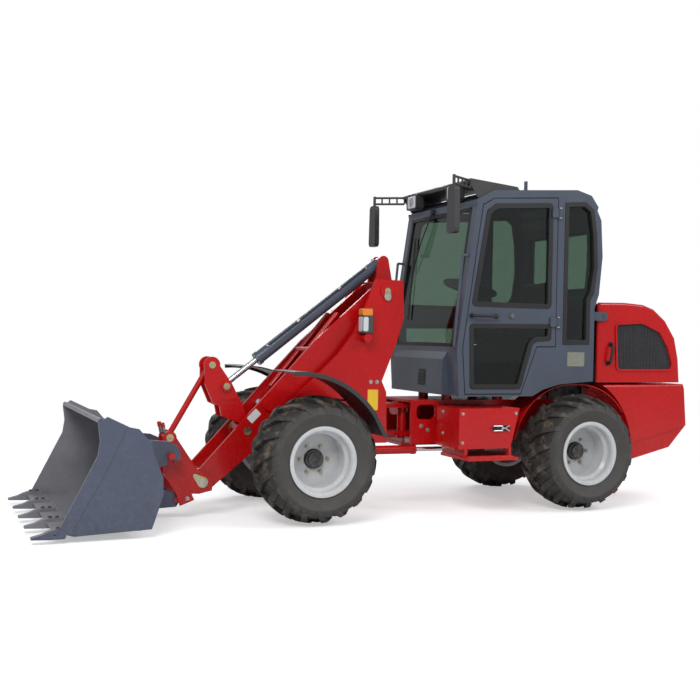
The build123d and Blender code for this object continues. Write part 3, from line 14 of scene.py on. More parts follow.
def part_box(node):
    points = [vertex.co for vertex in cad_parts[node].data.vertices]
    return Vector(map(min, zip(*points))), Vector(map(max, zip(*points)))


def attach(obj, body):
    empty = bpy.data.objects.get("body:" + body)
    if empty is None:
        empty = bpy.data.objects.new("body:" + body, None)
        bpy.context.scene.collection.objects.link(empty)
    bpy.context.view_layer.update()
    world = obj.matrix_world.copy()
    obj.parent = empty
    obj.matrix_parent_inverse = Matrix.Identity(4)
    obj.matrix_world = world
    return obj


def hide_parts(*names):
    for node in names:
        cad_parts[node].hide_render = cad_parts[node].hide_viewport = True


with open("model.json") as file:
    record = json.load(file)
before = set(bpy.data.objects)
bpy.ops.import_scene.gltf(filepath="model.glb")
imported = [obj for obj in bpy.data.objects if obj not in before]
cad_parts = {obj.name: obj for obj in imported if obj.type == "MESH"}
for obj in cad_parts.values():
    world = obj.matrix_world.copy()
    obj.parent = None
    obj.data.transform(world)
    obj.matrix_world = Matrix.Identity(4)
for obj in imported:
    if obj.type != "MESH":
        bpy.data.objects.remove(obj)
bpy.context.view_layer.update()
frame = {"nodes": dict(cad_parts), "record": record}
nodes = frame["nodes"]

# %% [markdown]
# The camera stands to the machine's left and a little in front, at about the height of the wheels' tops plus a
# cab step. Its place and turn were solved from the wheels, the bucket's edge and the cab. A camera looks along
# its own -Z, so its matrix has right, up and back as columns.

# %% Camera
image_size = 700
sensor_width = 36
focal_pixels = 1018.75
camera_place = Vector((2.8779, 6.2616, 1.1323))
yaw, pitch, roll = (math.radians(degrees) for degrees in (23.2819, 0.7410, 1.1405))
forward = Vector((-math.sin(yaw) * math.cos(pitch), -math.cos(yaw) * math.cos(pitch), -math.sin(pitch)))
level_right = Vector((-math.cos(yaw), math.sin(yaw), 0))
level_up = level_right.cross(forward)
right = math.cos(roll) * level_right + math.sin(roll) * level_up
up = -math.sin(roll) * level_right + math.cos(roll) * level_up

camera_data = bpy.data.cameras.new("photo_camera")
camera_data.sensor_width = sensor_width
camera_data.lens = sensor_width * focal_pixels / image_size
camera = bpy.data.objects.new("photo_camera", camera_data)
bpy.context.scene.collection.objects.link(camera)
turn = Matrix((right, up, -forward)).transposed().to_4x4()
camera.matrix_world = Matrix.Translation(camera_place) @ turn
bpy.context.scene.camera = camera
print("lens", round(camera_data.lens, 2))

# %% [markdown]
# The world, the floor and every finish are made of shader nodes. A small kit of helpers keeps each of them short:
# one makes a node with its sockets set and linked, and the others build sums, mixes, ramps and noise from it.

# %% Helpers for shader nodes


def add_node(tree, kind, values=None, links=None):
    """A shader node with some of its sockets set and some linked."""
    node = tree.nodes.new(f"ShaderNode{kind}")
    for socket, value in (values or {}).items():
        node.inputs[socket].default_value = value
    for socket, source in (links or {}).items():
        tree.links.new(source, node.inputs[socket])
    return node


def add_math(tree, operation, a, b=0.0, clamp=False):
    """A maths node between two sockets or numbers."""
    node = add_node(tree, "Math")
    node.operation = operation
    node.use_clamp = clamp
    for socket, value in zip(node.inputs, (a, b)):
        if isinstance(value, (int, float)):
            socket.default_value = value
        else:
            tree.links.new(value, socket)
    return node.outputs[0]


def multiply(tree, product, *others):
    """The product of sockets or numbers."""
    for other in others:
        product = add_math(tree, "MULTIPLY", product, other)
    return product


def mix_shaders(tree, share, first, second):
    """A mix of two shader nodes by a share."""
    return add_node(tree, "MixShader", links={0: share, 1: first.outputs[0], 2: second.outputs[0]})


def add_ramp(tree, value, low, high, a=0.0, b=1.0):
    """Maps a value from low..high to a..b, held at the ends."""
    ends = {"From Min": low, "From Max": high, "To Min": a, "To Max": b}
    return add_node(tree, "MapRange", ends, {"Value": value}).outputs[0]


def split_axes(tree, vector):
    """The X, Y and Z of a vector, each as a socket."""
    return add_node(tree, "SeparateXYZ", links={0: vector}).outputs


def parts_of(material):
    """A material's node tree, its Principled shader and its Object coordinates."""
    tree = material.node_tree
    return tree, tree.nodes["Principled BSDF"], add_node(tree, "TexCoord").outputs["Object"]


def new_finish(name):
    """A new material, with its node tree, its Principled shader and its Object coordinates."""
    material = bpy.data.materials.new(name)
    material.use_nodes = True
    return material, *parts_of(material)


print("node helpers ready")

# %% [markdown]
# Light comes from a pale world all round and from three soft lamps, at a level where a colour renders about as
# it is written. The camera sees the world as plain white instead, past the machine and through its glass, so the
# picture has a white ground.

# %% World and lamps
scene = bpy.context.scene
scene.view_settings.view_transform = "Standard"
world = bpy.data.worlds.new("studio")
scene.world = world
world.use_nodes = True
tree = world.node_tree
tree.nodes.clear()
ambient = add_node(tree, "Background", {"Color": (0.93, 0.96, 1.0, 1), "Strength": 0.48})
white = add_node(tree, "Background", {"Color": (1, 1, 1, 1), "Strength": 1.0})
rays = add_node(tree, "LightPath").outputs
seen = add_math(tree, "MAXIMUM", rays["Is Camera Ray"], rays["Is Transmission Ray"])
add_node(tree, "OutputWorld", links={0: mix_shaders(tree, seen, ambient, white).outputs[0]})

# name, place, target, width, height, watts
lamps = (
    ("key", (4.5, 6.0, 6.5), (0.0, 0.0, 0.9), 4.0, 3.0, 440),
    ("fill", (-6.0, 5.5, 6.2), (-0.6, 0.0, 0.9), 3.5, 3.0, 260),
    ("back", (-1.5, -6.5, 5.5), (0.0, 0.0, 0.9), 5.0, 2.5, 260),
)
for name, place, target, width, height, watts in lamps:
    data = bpy.data.lights.new(f"{name}_lamp", "AREA")
    data.shape, data.size, data.size_y, data.energy = "RECTANGLE", width, height, watts
    lamp = bpy.data.objects.new(f"{name}_lamp", data)
    lamp.location = place
    lamp.rotation_euler = (Vector(target) - Vector(place)).to_track_quat("-Z", "Y").to_euler()
    scene.collection.objects.link(lamp)
print("lamps", len(lamps))

# %% [markdown]
# The floor is one large pale sheet that takes the machine's shadow. For the camera a glow is added to it, so its
# lit part is as white as the ground behind it. Some way out it turns clear for the camera, so no edge shows.

# %% Floor
floor_half, floor_drop = 40, 0.001
glow_strength = 0.42
fade_start, fade_end = 2.6, 4.2
bm = bmesh.new()
bmesh.ops.create_grid(bm, x_segments=1, y_segments=1, size=floor_half, matrix=Matrix.Translation((0, 0, -floor_drop)))
floor_mesh = bpy.data.meshes.new("floor")
bm.to_mesh(floor_mesh)
bm.free()
floor = bpy.data.objects.new("floor", floor_mesh)
scene.collection.objects.link(floor)

floor_material, tree, shader, place = new_finish("pale_floor")
shader.inputs["Base Color"].default_value = (0.80, 0.80, 0.80, 1)
shader.inputs["Roughness"].default_value = 0.9
shader.inputs["Specular IOR Level"].default_value = 0.1
for_camera = add_node(tree, "LightPath").outputs["Is Camera Ray"]
glow = add_node(tree, "Emission", {"Strength": glow_strength})
glowing = add_node(tree, "AddShader", links={0: shader.outputs[0], 1: glow.outputs[0]})
lit = mix_shaders(tree, for_camera, shader, glowing)
distance = add_node(tree, "VectorMath", links={0: place})
distance.operation = "LENGTH"
gone = multiply(tree, add_ramp(tree, distance.outputs["Value"], fade_start, fade_end), for_camera)
faded = mix_shaders(tree, gone, lit, add_node(tree, "BsdfTransparent"))
tree.links.new(faded.outputs[0], tree.nodes["Material Output"].inputs[0])
floor_mesh.materials.append(floor_material)
print("floor clear from", fade_end)

# %% [markdown]
# Every finish is built the same way: a Principled shader whose colour, roughness and bump vary with noise in
# Object coordinates, so that no surface is perfectly even and the pattern stays on its piece.

# %% Helpers for finishes


def add_noise(tree, place, scale, detail=4.0, rough=0.55, stretch=None):
    """Noise between 0 and 1; stretch scales the pattern along X, Y and Z."""
    if stretch:
        place = add_node(tree, "Mapping", {"Scale": stretch}, {"Vector": place}).outputs[0]
    values = {"Scale": scale, "Detail": detail, "Roughness": rough}
    return add_node(tree, "TexNoise", values, {"Vector": place}).outputs["Fac"]


def add_mix(tree, share, a, b):
    """Mixes two colours, given as sockets or as (r, g, b)."""
    node = add_node(tree, "Mix")
    node.data_type = "RGBA"
    tree.links.new(share, node.inputs["Factor"])
    for socket, value in zip((node.inputs[6], node.inputs[7]), (a, b)):
        if isinstance(value, tuple):
            socket.default_value = (*value, 1)
        else:
            tree.links.new(value, socket)
    return node.outputs[2]


def lay_over(tree, shader, share, colour):
    """Lays a colour over the one that the shader has, by a share."""
    base = shader.inputs["Base Color"]
    tree.links.new(add_mix(tree, share, base.links[0].from_socket, colour), base)


def add_bump(tree, shader, height, strength, distance):
    """Gives the shader a bump by a height, at most a distance in metres."""
    bump = add_node(tree, "Bump", {"Strength": strength, "Distance": distance}, {"Height": height})
    tree.links.new(bump.outputs[0], shader.inputs["Normal"])


print("finish helpers ready")

# %% [markdown]
# Sprayed paint is the main finish. Real paint has a slight orange-peel skin, a clear gloss coat, small shifts of
# colour, and dust that lies lower down and in a thin film. One function with a few numbers makes them all.

# %% Paints
dust_brown = (0.32, 0.28, 0.23)
dust_top = 0.75


def make_paint(name, colour, roughness, coat, dust=0.25, peel=0.25, chips=0.0, chip_colour=(0.20, 0.19, 0.18)):
    """Sprayed paint with a skin, a film of dust and, where wanted, chips down to the metal."""
    material, tree, shader, place = new_finish(name)
    broad = add_noise(tree, place, 2.2, 5, 0.6)
    fine = add_noise(tree, place, 38, 4, 0.6)
    deep = tuple(c * 0.84 for c in colour)
    tint = add_mix(tree, add_ramp(tree, broad, 0.35, 0.7), colour, deep)
    low = add_ramp(tree, split_axes(tree, place)["Z"], dust_top, 0.0)
    film = add_math(tree, "MULTIPLY", add_ramp(tree, fine, 0.40, 0.72), add_math(tree, "ADD", low, 0.12), True)
    film = multiply(tree, film, dust)
    tint = add_mix(tree, film, tint, dust_brown)
    rough = add_ramp(tree, add_noise(tree, place, 11, 5, 0.65), 0.3, 0.75, roughness * 0.92, roughness * 1.10)
    rough = add_math(tree, "ADD", rough, multiply(tree, film, 0.3), True)
    if chips:
        spots = add_ramp(tree, add_noise(tree, place, 95, 3, 0.7), 0.70 - 0.12 * chips, 0.72)
        zone = add_ramp(tree, add_noise(tree, place, 7, 3, 0.6), 0.48, 0.6)
        tint = add_mix(tree, multiply(tree, spots, zone), tint, chip_colour)
    tree.links.new(tint, shader.inputs["Base Color"])
    tree.links.new(rough, shader.inputs["Roughness"])
    shader.inputs["Coat Weight"].default_value = coat
    shader.inputs["Coat Roughness"].default_value = 0.08
    shader.inputs["Specular IOR Level"].default_value = 0.35
    add_bump(tree, shader, add_noise(tree, place, 260, 2, 0.5), peel, 0.0006)
    return material


finishes = {
    "red_paint": make_paint("red_gloss_paint", (0.51, 0.003, 0.004), 0.27, 0.15, dust=0.04, peel=0.06),
    "bucket_paint": make_paint("bucket_slate_paint", (0.074, 0.088, 0.132), 0.42, 0.1, dust=0.10, chips=0.12,
                               chip_colour=(0.30, 0.27, 0.25)),
    "cab_paint": make_paint("cab_slate_paint", (0.066, 0.079, 0.110), 0.34, 0.25, dust=0.08),
    "dark_paint": make_paint("chassis_black_paint", (0.035, 0.036, 0.040), 0.5, 0.1, dust=0.6),
    "dark_metal": make_paint("dark_metal_paint", (0.06, 0.062, 0.068), 0.45, 0.1, dust=0.3),
}
print("paints", len(finishes))

# %% [markdown]
# The inside of the bucket gets painted light: a dull grey laid on the faces that turn to the light. The CAD bucket is
# one piece, so its inside is told by how its faces look: forward or up on the bent sheet, and sideways between the
# side plates, ahead of the hooks.

# %% Painted light on the inside of the bucket
side_plate_inside = 0.697
hooks_end = 1.58
tree, shader, place = parts_of(finishes["bucket_paint"])
facing = split_axes(tree, add_node(tree, "NewGeometry").outputs["Normal"])
spread = split_axes(tree, place)
sheet_faces = add_math(
    tree, "MAXIMUM", add_ramp(tree, facing["X"], 0.15, 0.6), add_ramp(tree, facing["Z"], 0.6, 0.95))
between = add_math(tree, "LESS_THAN", add_math(tree, "ABSOLUTE", spread["Y"]), side_plate_inside)
ahead = add_math(tree, "GREATER_THAN", spread["X"], hooks_end)
sideways = add_ramp(tree, add_math(tree, "ABSOLUTE", facing["Y"]), 0.6, 0.95)
inside = add_math(tree, "MAXIMUM", sheet_faces, multiply(tree, between, ahead, sideways))
# Painted light: faces inside the bucket that turn forward, up or inward are laid over with a lighter grey, in
# patches.
painted_light = add_ramp(tree, add_noise(tree, place, 5, 5, 0.65), 0.2, 0.8, 0.45, 0.95)
lay_over(tree, shader, multiply(tree, inside, painted_light), (0.270, 0.262, 0.275))
print("bucket worn ahead of", hooks_end)

# %% [markdown]
# Bare metals: yellow-passivated pins and lock plates, hard chrome rods, and the rough iron of the engine. Brushed
# or turned metal gets fine streaks; chrome stays almost clean with a breath of oil.

# %% Metals


def make_metal(name, colour, roughness, streak=(1, 1, 1), grime=0.2):
    """Bare metal with streaks and a little grime."""
    material, tree, shader, place = new_finish(name)
    lines = add_noise(tree, place, 60, 4, 0.6, stretch=streak)
    dirty = multiply(tree, add_ramp(tree, add_noise(tree, place, 18, 5, 0.65), 0.45, 0.75), grime)
    tint = add_mix(tree, dirty, colour, tuple(c * 0.35 for c in colour))
    tree.links.new(tint, shader.inputs["Base Color"])
    shader.inputs["Metallic"].default_value = 1.0
    rough = add_ramp(tree, lines, 0.3, 0.7, roughness * 0.75, roughness * 1.3)
    tree.links.new(add_math(tree, "ADD", rough, dirty, True), shader.inputs["Roughness"])
    add_bump(tree, shader, lines, 0.15, 0.0004)
    return material


finishes["zinc"] = make_metal("yellow_zinc", (0.62, 0.52, 0.30), 0.32, streak=(1, 0.1, 1), grime=0.35)
finishes["chrome"] = make_metal("hard_chrome", (0.72, 0.73, 0.75), 0.10, grime=0.08)
finishes["iron"] = make_metal("engine_iron", (0.20, 0.20, 0.20), 0.55, grime=0.6)
print("finishes", len(finishes))

# %% [markdown]
# Plastic and cloth. Moulded plastic has a fine leather-like grain with dry dust in it; the lamp's plastic is
# smooth and bright; the seat's cloth has a small weave and a soft sheen. The same function makes the rubber.

# %% Plastics and cloth
dust_pale = (0.30, 0.26, 0.21)


def make_moulded(name, colour, roughness, grain_scale, grain, dust):
    """Moulded rubber or plastic with a grain, and dust on it."""
    material, tree, shader, place = new_finish(name)
    patches = add_noise(tree, place, 6, 5, 0.65)
    film = multiply(tree, add_ramp(tree, patches, 0.35, 0.75), dust)
    tree.links.new(add_mix(tree, film, colour, dust_pale), shader.inputs["Base Color"])
    rough = add_ramp(tree, patches, 0.3, 0.7, roughness * 0.85, min(1.0, roughness * 1.15))
    tree.links.new(rough, shader.inputs["Roughness"])
    add_bump(tree, shader, add_noise(tree, place, grain_scale, 3, 0.55), grain, 0.0008)
    return material


# slot, name, colour, roughness, grain scale, grain, dust
mouldings = (
    ("black_plastic", "black_plastic", (0.030, 0.029, 0.032), 0.42, 420, 0.15, 0.04),
    ("dark_plastic", "dark_cab_plastic", (0.045, 0.048, 0.052), 0.55, 300, 0.06, 0.05),
    ("lamp_plastic", "orange_lamp", (0.80, 0.22, 0.03), 0.18, 60, 0.05, 0.02),
    ("seat_fabric", "seat_cloth", (0.030, 0.031, 0.036), 0.9, 900, 0.5, 0.05),
)
for slot, *look in mouldings:
    finishes[slot] = make_moulded(*look)
finishes["seat_fabric"].node_tree.nodes["Principled BSDF"].inputs["Sheen Weight"].default_value = 0.3
print("finishes", len(finishes))

# %% [markdown]
# Safety glass is a thin tinted pane. Light passes it unbent, so a Transparent shader does better here than real
# refraction, and a Glossy one is mixed in at grazing angles. Only the outer side mirrors, so it isn't doubled.

# %% Glass


def make_glass(name, tint, clear):
    """Thin safety glass: a clear pane that lets light straight through, with a mirror at grazing angles."""
    material, tree, shader, _ = new_finish(name)
    shader.inputs["Base Color"].default_value = (*tint, 1)
    shader.inputs["Roughness"].default_value = 0.02
    see = add_node(tree, "BsdfTransparent", {"Color": (*tint, 1)})
    gloss = add_node(tree, "BsdfGlossy", {"Roughness": 0.03})
    grazing = add_node(tree, "Fresnel", {"IOR": 1.45}).outputs[0]
    outside = add_math(tree, "SUBTRACT", 1.0, add_node(tree, "NewGeometry").outputs["Backfacing"])
    mirror_share = add_ramp(tree, grazing, 0.0, 1.0, 1 - clear, 1.0)
    pane = mix_shaders(tree, multiply(tree, mirror_share, outside), see, gloss)
    tree.links.new(pane.outputs[0], tree.nodes["Material Output"].inputs[0])
    return material


finishes["glass"] = make_glass("cab_glass", (0.48, 0.57, 0.51), 0.97)
print("finishes", len(finishes))

# %% [markdown]
# The rims are silver, but their nuts are plated. The CAD rim is one piece, so its finish is mixed by place: close
# to the axle and outside the disc's face there is nothing but nuts, so that zone gets the metal's colour.

# %% Rims with plated nuts
nut_zone_radius = 0.104
disc_depth = 0.0095


def box_middle(node):
    """The middle of a CAD node's box."""
    low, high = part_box(node)
    return (low + high) / 2


def axle_distance(tree, place, axle):
    """How far from a wheel's axle a point lies."""
    axes = split_axes(tree, place)
    along = add_math(tree, "SUBTRACT", axes["X"], axle.x)
    above = add_math(tree, "SUBTRACT", axes["Z"], axle.z)
    return add_math(tree, "SQRT", add_math(tree, "ADD", multiply(tree, along, along), multiply(tree, above, above)))


def make_rim(node):
    """Silver paint that turns to plated steel on the wheel's nuts."""
    axle = box_middle(node)
    material = make_paint(f"{node}_silver", (0.60, 0.61, 0.62), 0.34, 0.25, dust=0.30, peel=0.15)
    tree, shader, place = parts_of(material)
    near = add_math(tree, "LESS_THAN", axle_distance(tree, place, axle), nut_zone_radius)
    out = add_math(tree, "ABSOLUTE", add_math(tree, "SUBTRACT", split_axes(tree, place)["Y"], axle.y))
    nut = multiply(tree, near, add_math(tree, "LESS_THAN", out, disc_depth))
    lay_over(tree, shader, nut, (0.40, 0.34, 0.22))
    tree.links.new(nut, shader.inputs["Metallic"])
    return material


print("nut zone radius", nut_zone_radius)

# %% [markdown]
# A tyre is darkest on its tread, where it rubs, and greyer on its side wall, where dust stays. The same distance
# from the axle as in the rims steers that mix, and its sine gives the wall fine moulded rings. Dried mud lies in
# patches on the tread.

# %% Tyres
wall_start, wall_end = 0.335, 0.285
ring_turns = 420


def make_tyre(node):
    """Rubber that is grey and dusty on the side wall and dark on the tread."""
    material = make_moulded(f"{node}_rubber", (0.020, 0.019, 0.019), 0.72, 130, 0.3, 0.10)
    tree, shader, place = parts_of(material)
    radius = axle_distance(tree, place, box_middle(node))
    wall = add_ramp(tree, radius, wall_start, wall_end)
    patches = add_ramp(tree, add_noise(tree, place, 9, 4, 0.6), 0.25, 0.75, 0.55, 1.0)
    rings = add_ramp(tree, add_math(tree, "SINE", multiply(tree, radius, ring_turns)), 0.2, 0.9, 0.72, 1.0)
    lay_over(tree, shader, multiply(tree, wall, patches, rings), (0.072, 0.068, 0.064))
    mud = add_ramp(tree, add_noise(tree, place, 13, 5, 0.7), 0.50, 0.64)
    outer = add_ramp(tree, radius, 0.300, 0.345, 0.10, 0.85)
    lay_over(tree, shader, multiply(tree, mud, outer), (0.150, 0.115, 0.082))
    return material


wheel_finishes = {}
for end in ("front", "rear"):
    for hand in ("left", "right"):
        for kind, make in (("rim", make_rim), ("tyre", make_tyre)):
            wheel_finishes[f"{kind}_{end}_{hand}"] = make(f"{kind}_{end}_{hand}")
print("rims and tyres", len(wheel_finishes))

# %% [markdown]
# The record names a finish for each CAD piece, and each rim and tyre has one of its own. The pieces keep their
# shape, and only their material slot changes.

# %% Give the CAD pieces their finishes
for row in frame["record"]["subparts"]:
    mesh = nodes[row["node"]].data
    mesh.materials.clear()
    mesh.materials.append(wheel_finishes.get(row["node"]) or finishes[row["material_slot"]])

# %% [markdown]
# New pieces are shaped with bmesh operators and handed to one function, which recalculates the normals, softens
# the edges with a small bevel, shades it smooth up to a sharp angle, and lets it ride on a body of the frame.

# %% Helper that finishes a piece
soft_angle = math.radians(35)


def new_piece(name, bm, material, body, bevel=0.0, segments=2):
    """Turns a bmesh into a piece that rides on a body."""
    bmesh.ops.remove_doubles(bm, verts=bm.verts, dist=0.00002)
    bmesh.ops.recalc_face_normals(bm, faces=bm.faces)
    mesh = bpy.data.meshes.new(name)
    bm.to_mesh(mesh)
    bm.free()
    mesh.shade_smooth()
    mesh.set_sharp_from_angle(angle=soft_angle)
    mesh.materials.append(material)
    piece = bpy.data.objects.new(name, mesh)
    scene.collection.objects.link(piece)
    if bevel:
        soft = piece.modifiers.new("soft_edges", "BEVEL")
        soft.width, soft.segments, soft.limit_method = bevel, segments, "ANGLE"
        soft.angle_limit = soft_angle
        soft.harden_normals = True
    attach(piece, body)
    return piece


print("soft angle", round(math.degrees(soft_angle)))

# %% [markdown]
# Flat pieces start from an outline. One on the machine's side is drawn from points (x, z), one that faces the
# front from points (y, z). A side of 1 is the left and -1 the right, so the same call makes both.

# %% Helpers for outlines and plates
sides = ((1, "left"), (-1, "right"))


def rectangle(start, low, end, high):
    """The corners of an upright rectangle, from a start to an end and from low to high."""
    return [(start, low), (end, low), (end, high), (start, high)]


def outline(corner, shares, length, height):
    """Points (x, z) from shares of a length, backward from the corner, and of a height."""
    return [(corner[0] - along * length, corner[1] + up_share * height) for along, up_share in shares]


def side_points(points, y):
    """Points in space from points (x, z) on the plane at y."""
    return [Vector((x, y, z)) for x, z in points]


def front_points(points, x, middle_y=0.0):
    """Points in space from points (y, z) on the plane at x, with y counted from a middle."""
    return [Vector((x, middle_y + y, z)) for y, z in points]


def outward(side, reach=1.0):
    """A step out of the machine's side."""
    return Vector((0, side * reach, 0))


def add_sheet(bm, points, corner=0.0, segments=5):
    """A flat face with rounded corners through points in space."""
    face = bm.faces.new([bm.verts.new(point) for point in points])
    if corner:
        before = set(bm.faces) - {face}
        bmesh.ops.bevel(bm, geom=list(face.verts), offset=corner, offset_type="OFFSET", segments=segments,
                        profile=0.5, affect="VERTICES", clamp_overlap=True, material=-1)
        face = (set(bm.faces) - before).pop()
    face.normal_update()
    return face


def thicken(bm, faces, thickness):
    """Gives flat faces a thickness, a vector in space."""
    grown = bmesh.ops.extrude_face_region(bm, geom=faces)["geom"]
    moved = [item for item in grown if isinstance(item, bmesh.types.BMVert)]
    bmesh.ops.translate(bm, verts=moved, vec=thickness)


def add_slab(bm, points, thickness, corner=0.0):
    """A flat plate through points in space."""
    thicken(bm, [add_sheet(bm, points, corner)], thickness)


def add_band(bm, points, width, thickness, corner):
    """A flat ring that follows an outline on its inside."""
    face = add_sheet(bm, points, corner)
    before = set(bm.faces)
    bmesh.ops.inset_region(bm, faces=[face], thickness=width, use_boundary=True, use_even_offset=True)
    ring = [item for item in bm.faces if item not in before]
    bmesh.ops.delete(bm, geom=[face], context="FACES")
    thicken(bm, ring, thickness)


print("outline helpers ready")

# %% [markdown]
# Round pieces are posts along an axis, and bars through a route of points. A bolt is a hexagon post on a washer,
# and a handle is a bar that rises from one foot, runs along and comes down to the other.

# %% Helpers for posts, bolts and bars


def aligned(place, axis):
    """A matrix that stands local Z along an axis at a place."""
    turn = Vector((0, 0, 1)).rotation_difference(Vector(axis)).to_matrix().to_4x4()
    return Matrix.Translation(place) @ turn


def add_drum(bm, place, axis, radius, length, segments=24, end_radius=None):
    """A round or many-sided post that starts at a place and runs along an axis."""
    matrix = aligned(place, axis) @ Matrix.Translation((0, 0, length / 2))
    end_radius = radius if end_radius is None else end_radius
    bmesh.ops.create_cone(bm, cap_ends=True, segments=segments, radius1=radius, radius2=end_radius,
                          depth=length, matrix=matrix)


def add_bolt(bm, place, axis, radius):
    """A hexagon head on a round washer."""
    axis = Vector(axis).normalized()
    add_drum(bm, place, axis, radius * 1.35, radius * 0.25, 16)
    add_drum(bm, Vector(place) + axis * radius * 0.2, axis, radius, radius * 0.75, 6, radius * 0.96)


def add_tube(bm, points, radius, segments=12):
    """A round bar through points in space, mitred at its corners, closed at its ends."""
    rings = []
    for index, point in enumerate(points):
        before = (point - points[index - 1]).normalized() if index else None
        after = (points[index + 1] - point).normalized() if index + 1 < len(points) else None
        at_end = before is None or after is None
        heading = (before or after) if at_end else (before + after).normalized()
        stretch = 1.0 if at_end else 1 / max(0.5, heading.dot(after))
        matrix = aligned(point, heading)
        rings.append(bmesh.ops.create_circle(bm, segments=segments, radius=radius * stretch, matrix=matrix)["verts"])
    for low_ring, high_ring in zip(rings, rings[1:]):
        both = set(low_ring + high_ring)
        bmesh.ops.bridge_loops(bm, edges=[edge for edge in bm.edges if both.issuperset(edge.verts)])
    for ring in (rings[0], rings[-1]):
        bm.faces.new(ring)


def rounded_route(points, reach, steps=4):
    """A route with each corner cut into a short curve that starts a reach before it."""
    route = [points[0]]
    for before, corner, after in zip(points, points[1:], points[2:]):
        start = corner + (before - corner).normalized() * reach
        end = corner + (after - corner).normalized() * reach
        for step in range(steps + 1):
            share = step / steps
            route.append(start.lerp(corner, share).lerp(corner.lerp(end, share), share))
    return route + [points[-1]]


def add_handle(bm, feet, axis, rise, radius, corner):
    """A round bar that stands a rise off its two feet, with rounded corners."""
    raised = [foot + axis * rise for foot in feet]
    add_tube(bm, rounded_route([feet[0], *raised, feet[1]], corner), radius)


print("bar helpers ready")

# %% [markdown]
# Some fittings sit on a CAD surface whose exact place is easier to ask for than to work out. A ray cast onto the
# node from outside gives the point where it lands. Pins are found by their joints, and the cab's and the hood's
# side panels by their lower front corner, length and height, so that outlines can be written as shares.

# %% Places on the CAD model
ray_start = 1.2
downward, backward = (0, 0, -1), (-1, 0, 0)


def landed(node, start, heading):
    """The point where a ray from start meets a node."""
    part = nodes[node]
    back_in = part.matrix_world.inverted()
    aim = (back_in.to_3x3() @ Vector(heading)).normalized()
    hit, point, _, _ = part.ray_cast(back_in @ Vector(start), aim)
    if not hit:
        raise RuntimeError(f"no surface of {node} from {tuple(start)}")
    return part.matrix_world @ point


def landed_side(node, side, x, z):
    """The point of a node that faces the machine's side at x and z."""
    return landed(node, (x, side * ray_start, z), (0, -side, 0))


joints = frame["record"]["behaviour"]["joints"]
pivots = {row["name"]: Vector(row["pos_m"]) for row in joints if row["type"] == "hinge"}
cab_corner, cab_length, cab_height = (-0.352, 0.750), 1.127, 1.410
cab_half_width = 0.500
hood_corner, hood_length, hood_height = (-1.487, 0.850), 0.733, 0.560
hood_half_width = 0.450
print("pivots", len(pivots))

# %% [markdown]
# A few finishes are only on the new pieces: black rubber seals, zinc bolts, bright steel, a mirror, a clear lens,
# weld metal under paint, the red plastic of dust caps, and the colours of the blank plates.

# %% Finishes of the small pieces
rubber_seal = make_moulded("seal_rubber", (0.007, 0.007, 0.008), 0.55, 500, 0.1, 0.02)
cap_red = make_moulded("cap_red", (0.45, 0.012, 0.012), 0.42, 300, 0.1, 0.05)
sign_yellow = make_moulded("sign_yellow", (0.85, 0.55, 0.02), 0.4, 300, 0.02, 0.08)
sign_white = make_moulded("sign_white", (0.72, 0.72, 0.72), 0.4, 300, 0.02, 0.15)
lens_clear = make_moulded("lens_clear", (0.62, 0.64, 0.66), 0.08, 90, 0.35, 0.03)
lens_clear.node_tree.nodes["Principled BSDF"].inputs["Coat Weight"].default_value = 1.0
bolt_zinc = make_metal("bolt_zinc", (0.58, 0.57, 0.53), 0.34, grime=0.3)
steel_silver = make_metal("silver_steel", (0.62, 0.62, 0.63), 0.28, streak=(1, 1, 0.1))
plate_olive = make_metal("plate_olive", (0.34, 0.34, 0.28), 0.42, streak=(1, 1, 0.2), grime=0.35)
mirror_glass = make_metal("mirror_glass", (0.82, 0.84, 0.86), 0.03, grime=0.02)
weld_slate = make_paint("weld_slate", (0.20, 0.215, 0.25), 0.45, 0.1, dust=0.2, peel=0.8)
print("materials", len(bpy.data.materials))

# %% [markdown]
# Each cab window is held in a black rubber seal, a band that laps the pane and stands a few millimetres out of the
# metal. The band is made by insetting the window's outline and extruding the ring. The door panes have round
# corners; the quarter pane bends in short straight steps, so its seal is mitred.

# %% Window seals on the cab's sides
upper_pane = ((0.180, 0.868), (0.236, 0.903), (0.635, 0.927), (0.635, 0.423), (0.090, 0.423))
lower_pane = ((0.078, 0.343), (0.640, 0.351), (0.640, 0.271), (0.514, 0.264), (0.431, 0.040), (0.088, 0.040))
quarter_pane = (
    (0.72, 0.935), (0.87, 0.945), (0.93, 0.91), (0.955, 0.791), (0.965, 0.633), (0.94, 0.5),
    (0.915, 0.47), (0.915, 0.256), (0.72, 0.253),
)
pane_corner, seal_width, seal_depth, seal_rise, seal_softness = 0.034, 0.032, 0.024, 0.004, 0.003
for side, hand in sides:
    for name, shares, corner, body in (
        ("upper_seal", upper_pane, pane_corner, f"door_{hand}"),
        ("lower_seal", lower_pane, pane_corner, f"door_{hand}"),
        ("quarter_seal", quarter_pane, 0.0, "chassis"),
    ):
        bm = bmesh.new()
        window = outline(cab_corner, shares, cab_length, cab_height)
        window = side_points(window, side * (cab_half_width - seal_depth))
        add_band(bm, window, seal_width, outward(side, seal_depth + seal_rise), corner)
        new_piece(f"{name}_{hand}", bm, rubber_seal, body, seal_softness)
print("side seals", 3 * len(sides))

# %% [markdown]
# The windshield leans back, so places on it are given as a share of its height, a y and a lift off the glass. Its
# seal and the rear window's are the same kind of band as on the sides.

# %% Seals of the windshield and the rear window
front_low, front_high = outline(cab_corner, ((0.0009, 0.235), (0.1152, 0.885)), cab_length, cab_height)
front_normal = Vector((front_high[1] - front_low[1], 0, front_low[0] - front_high[0])).normalized()
screen_half, screen_sink, screen_seal_depth = 0.435, 0.008, 0.011


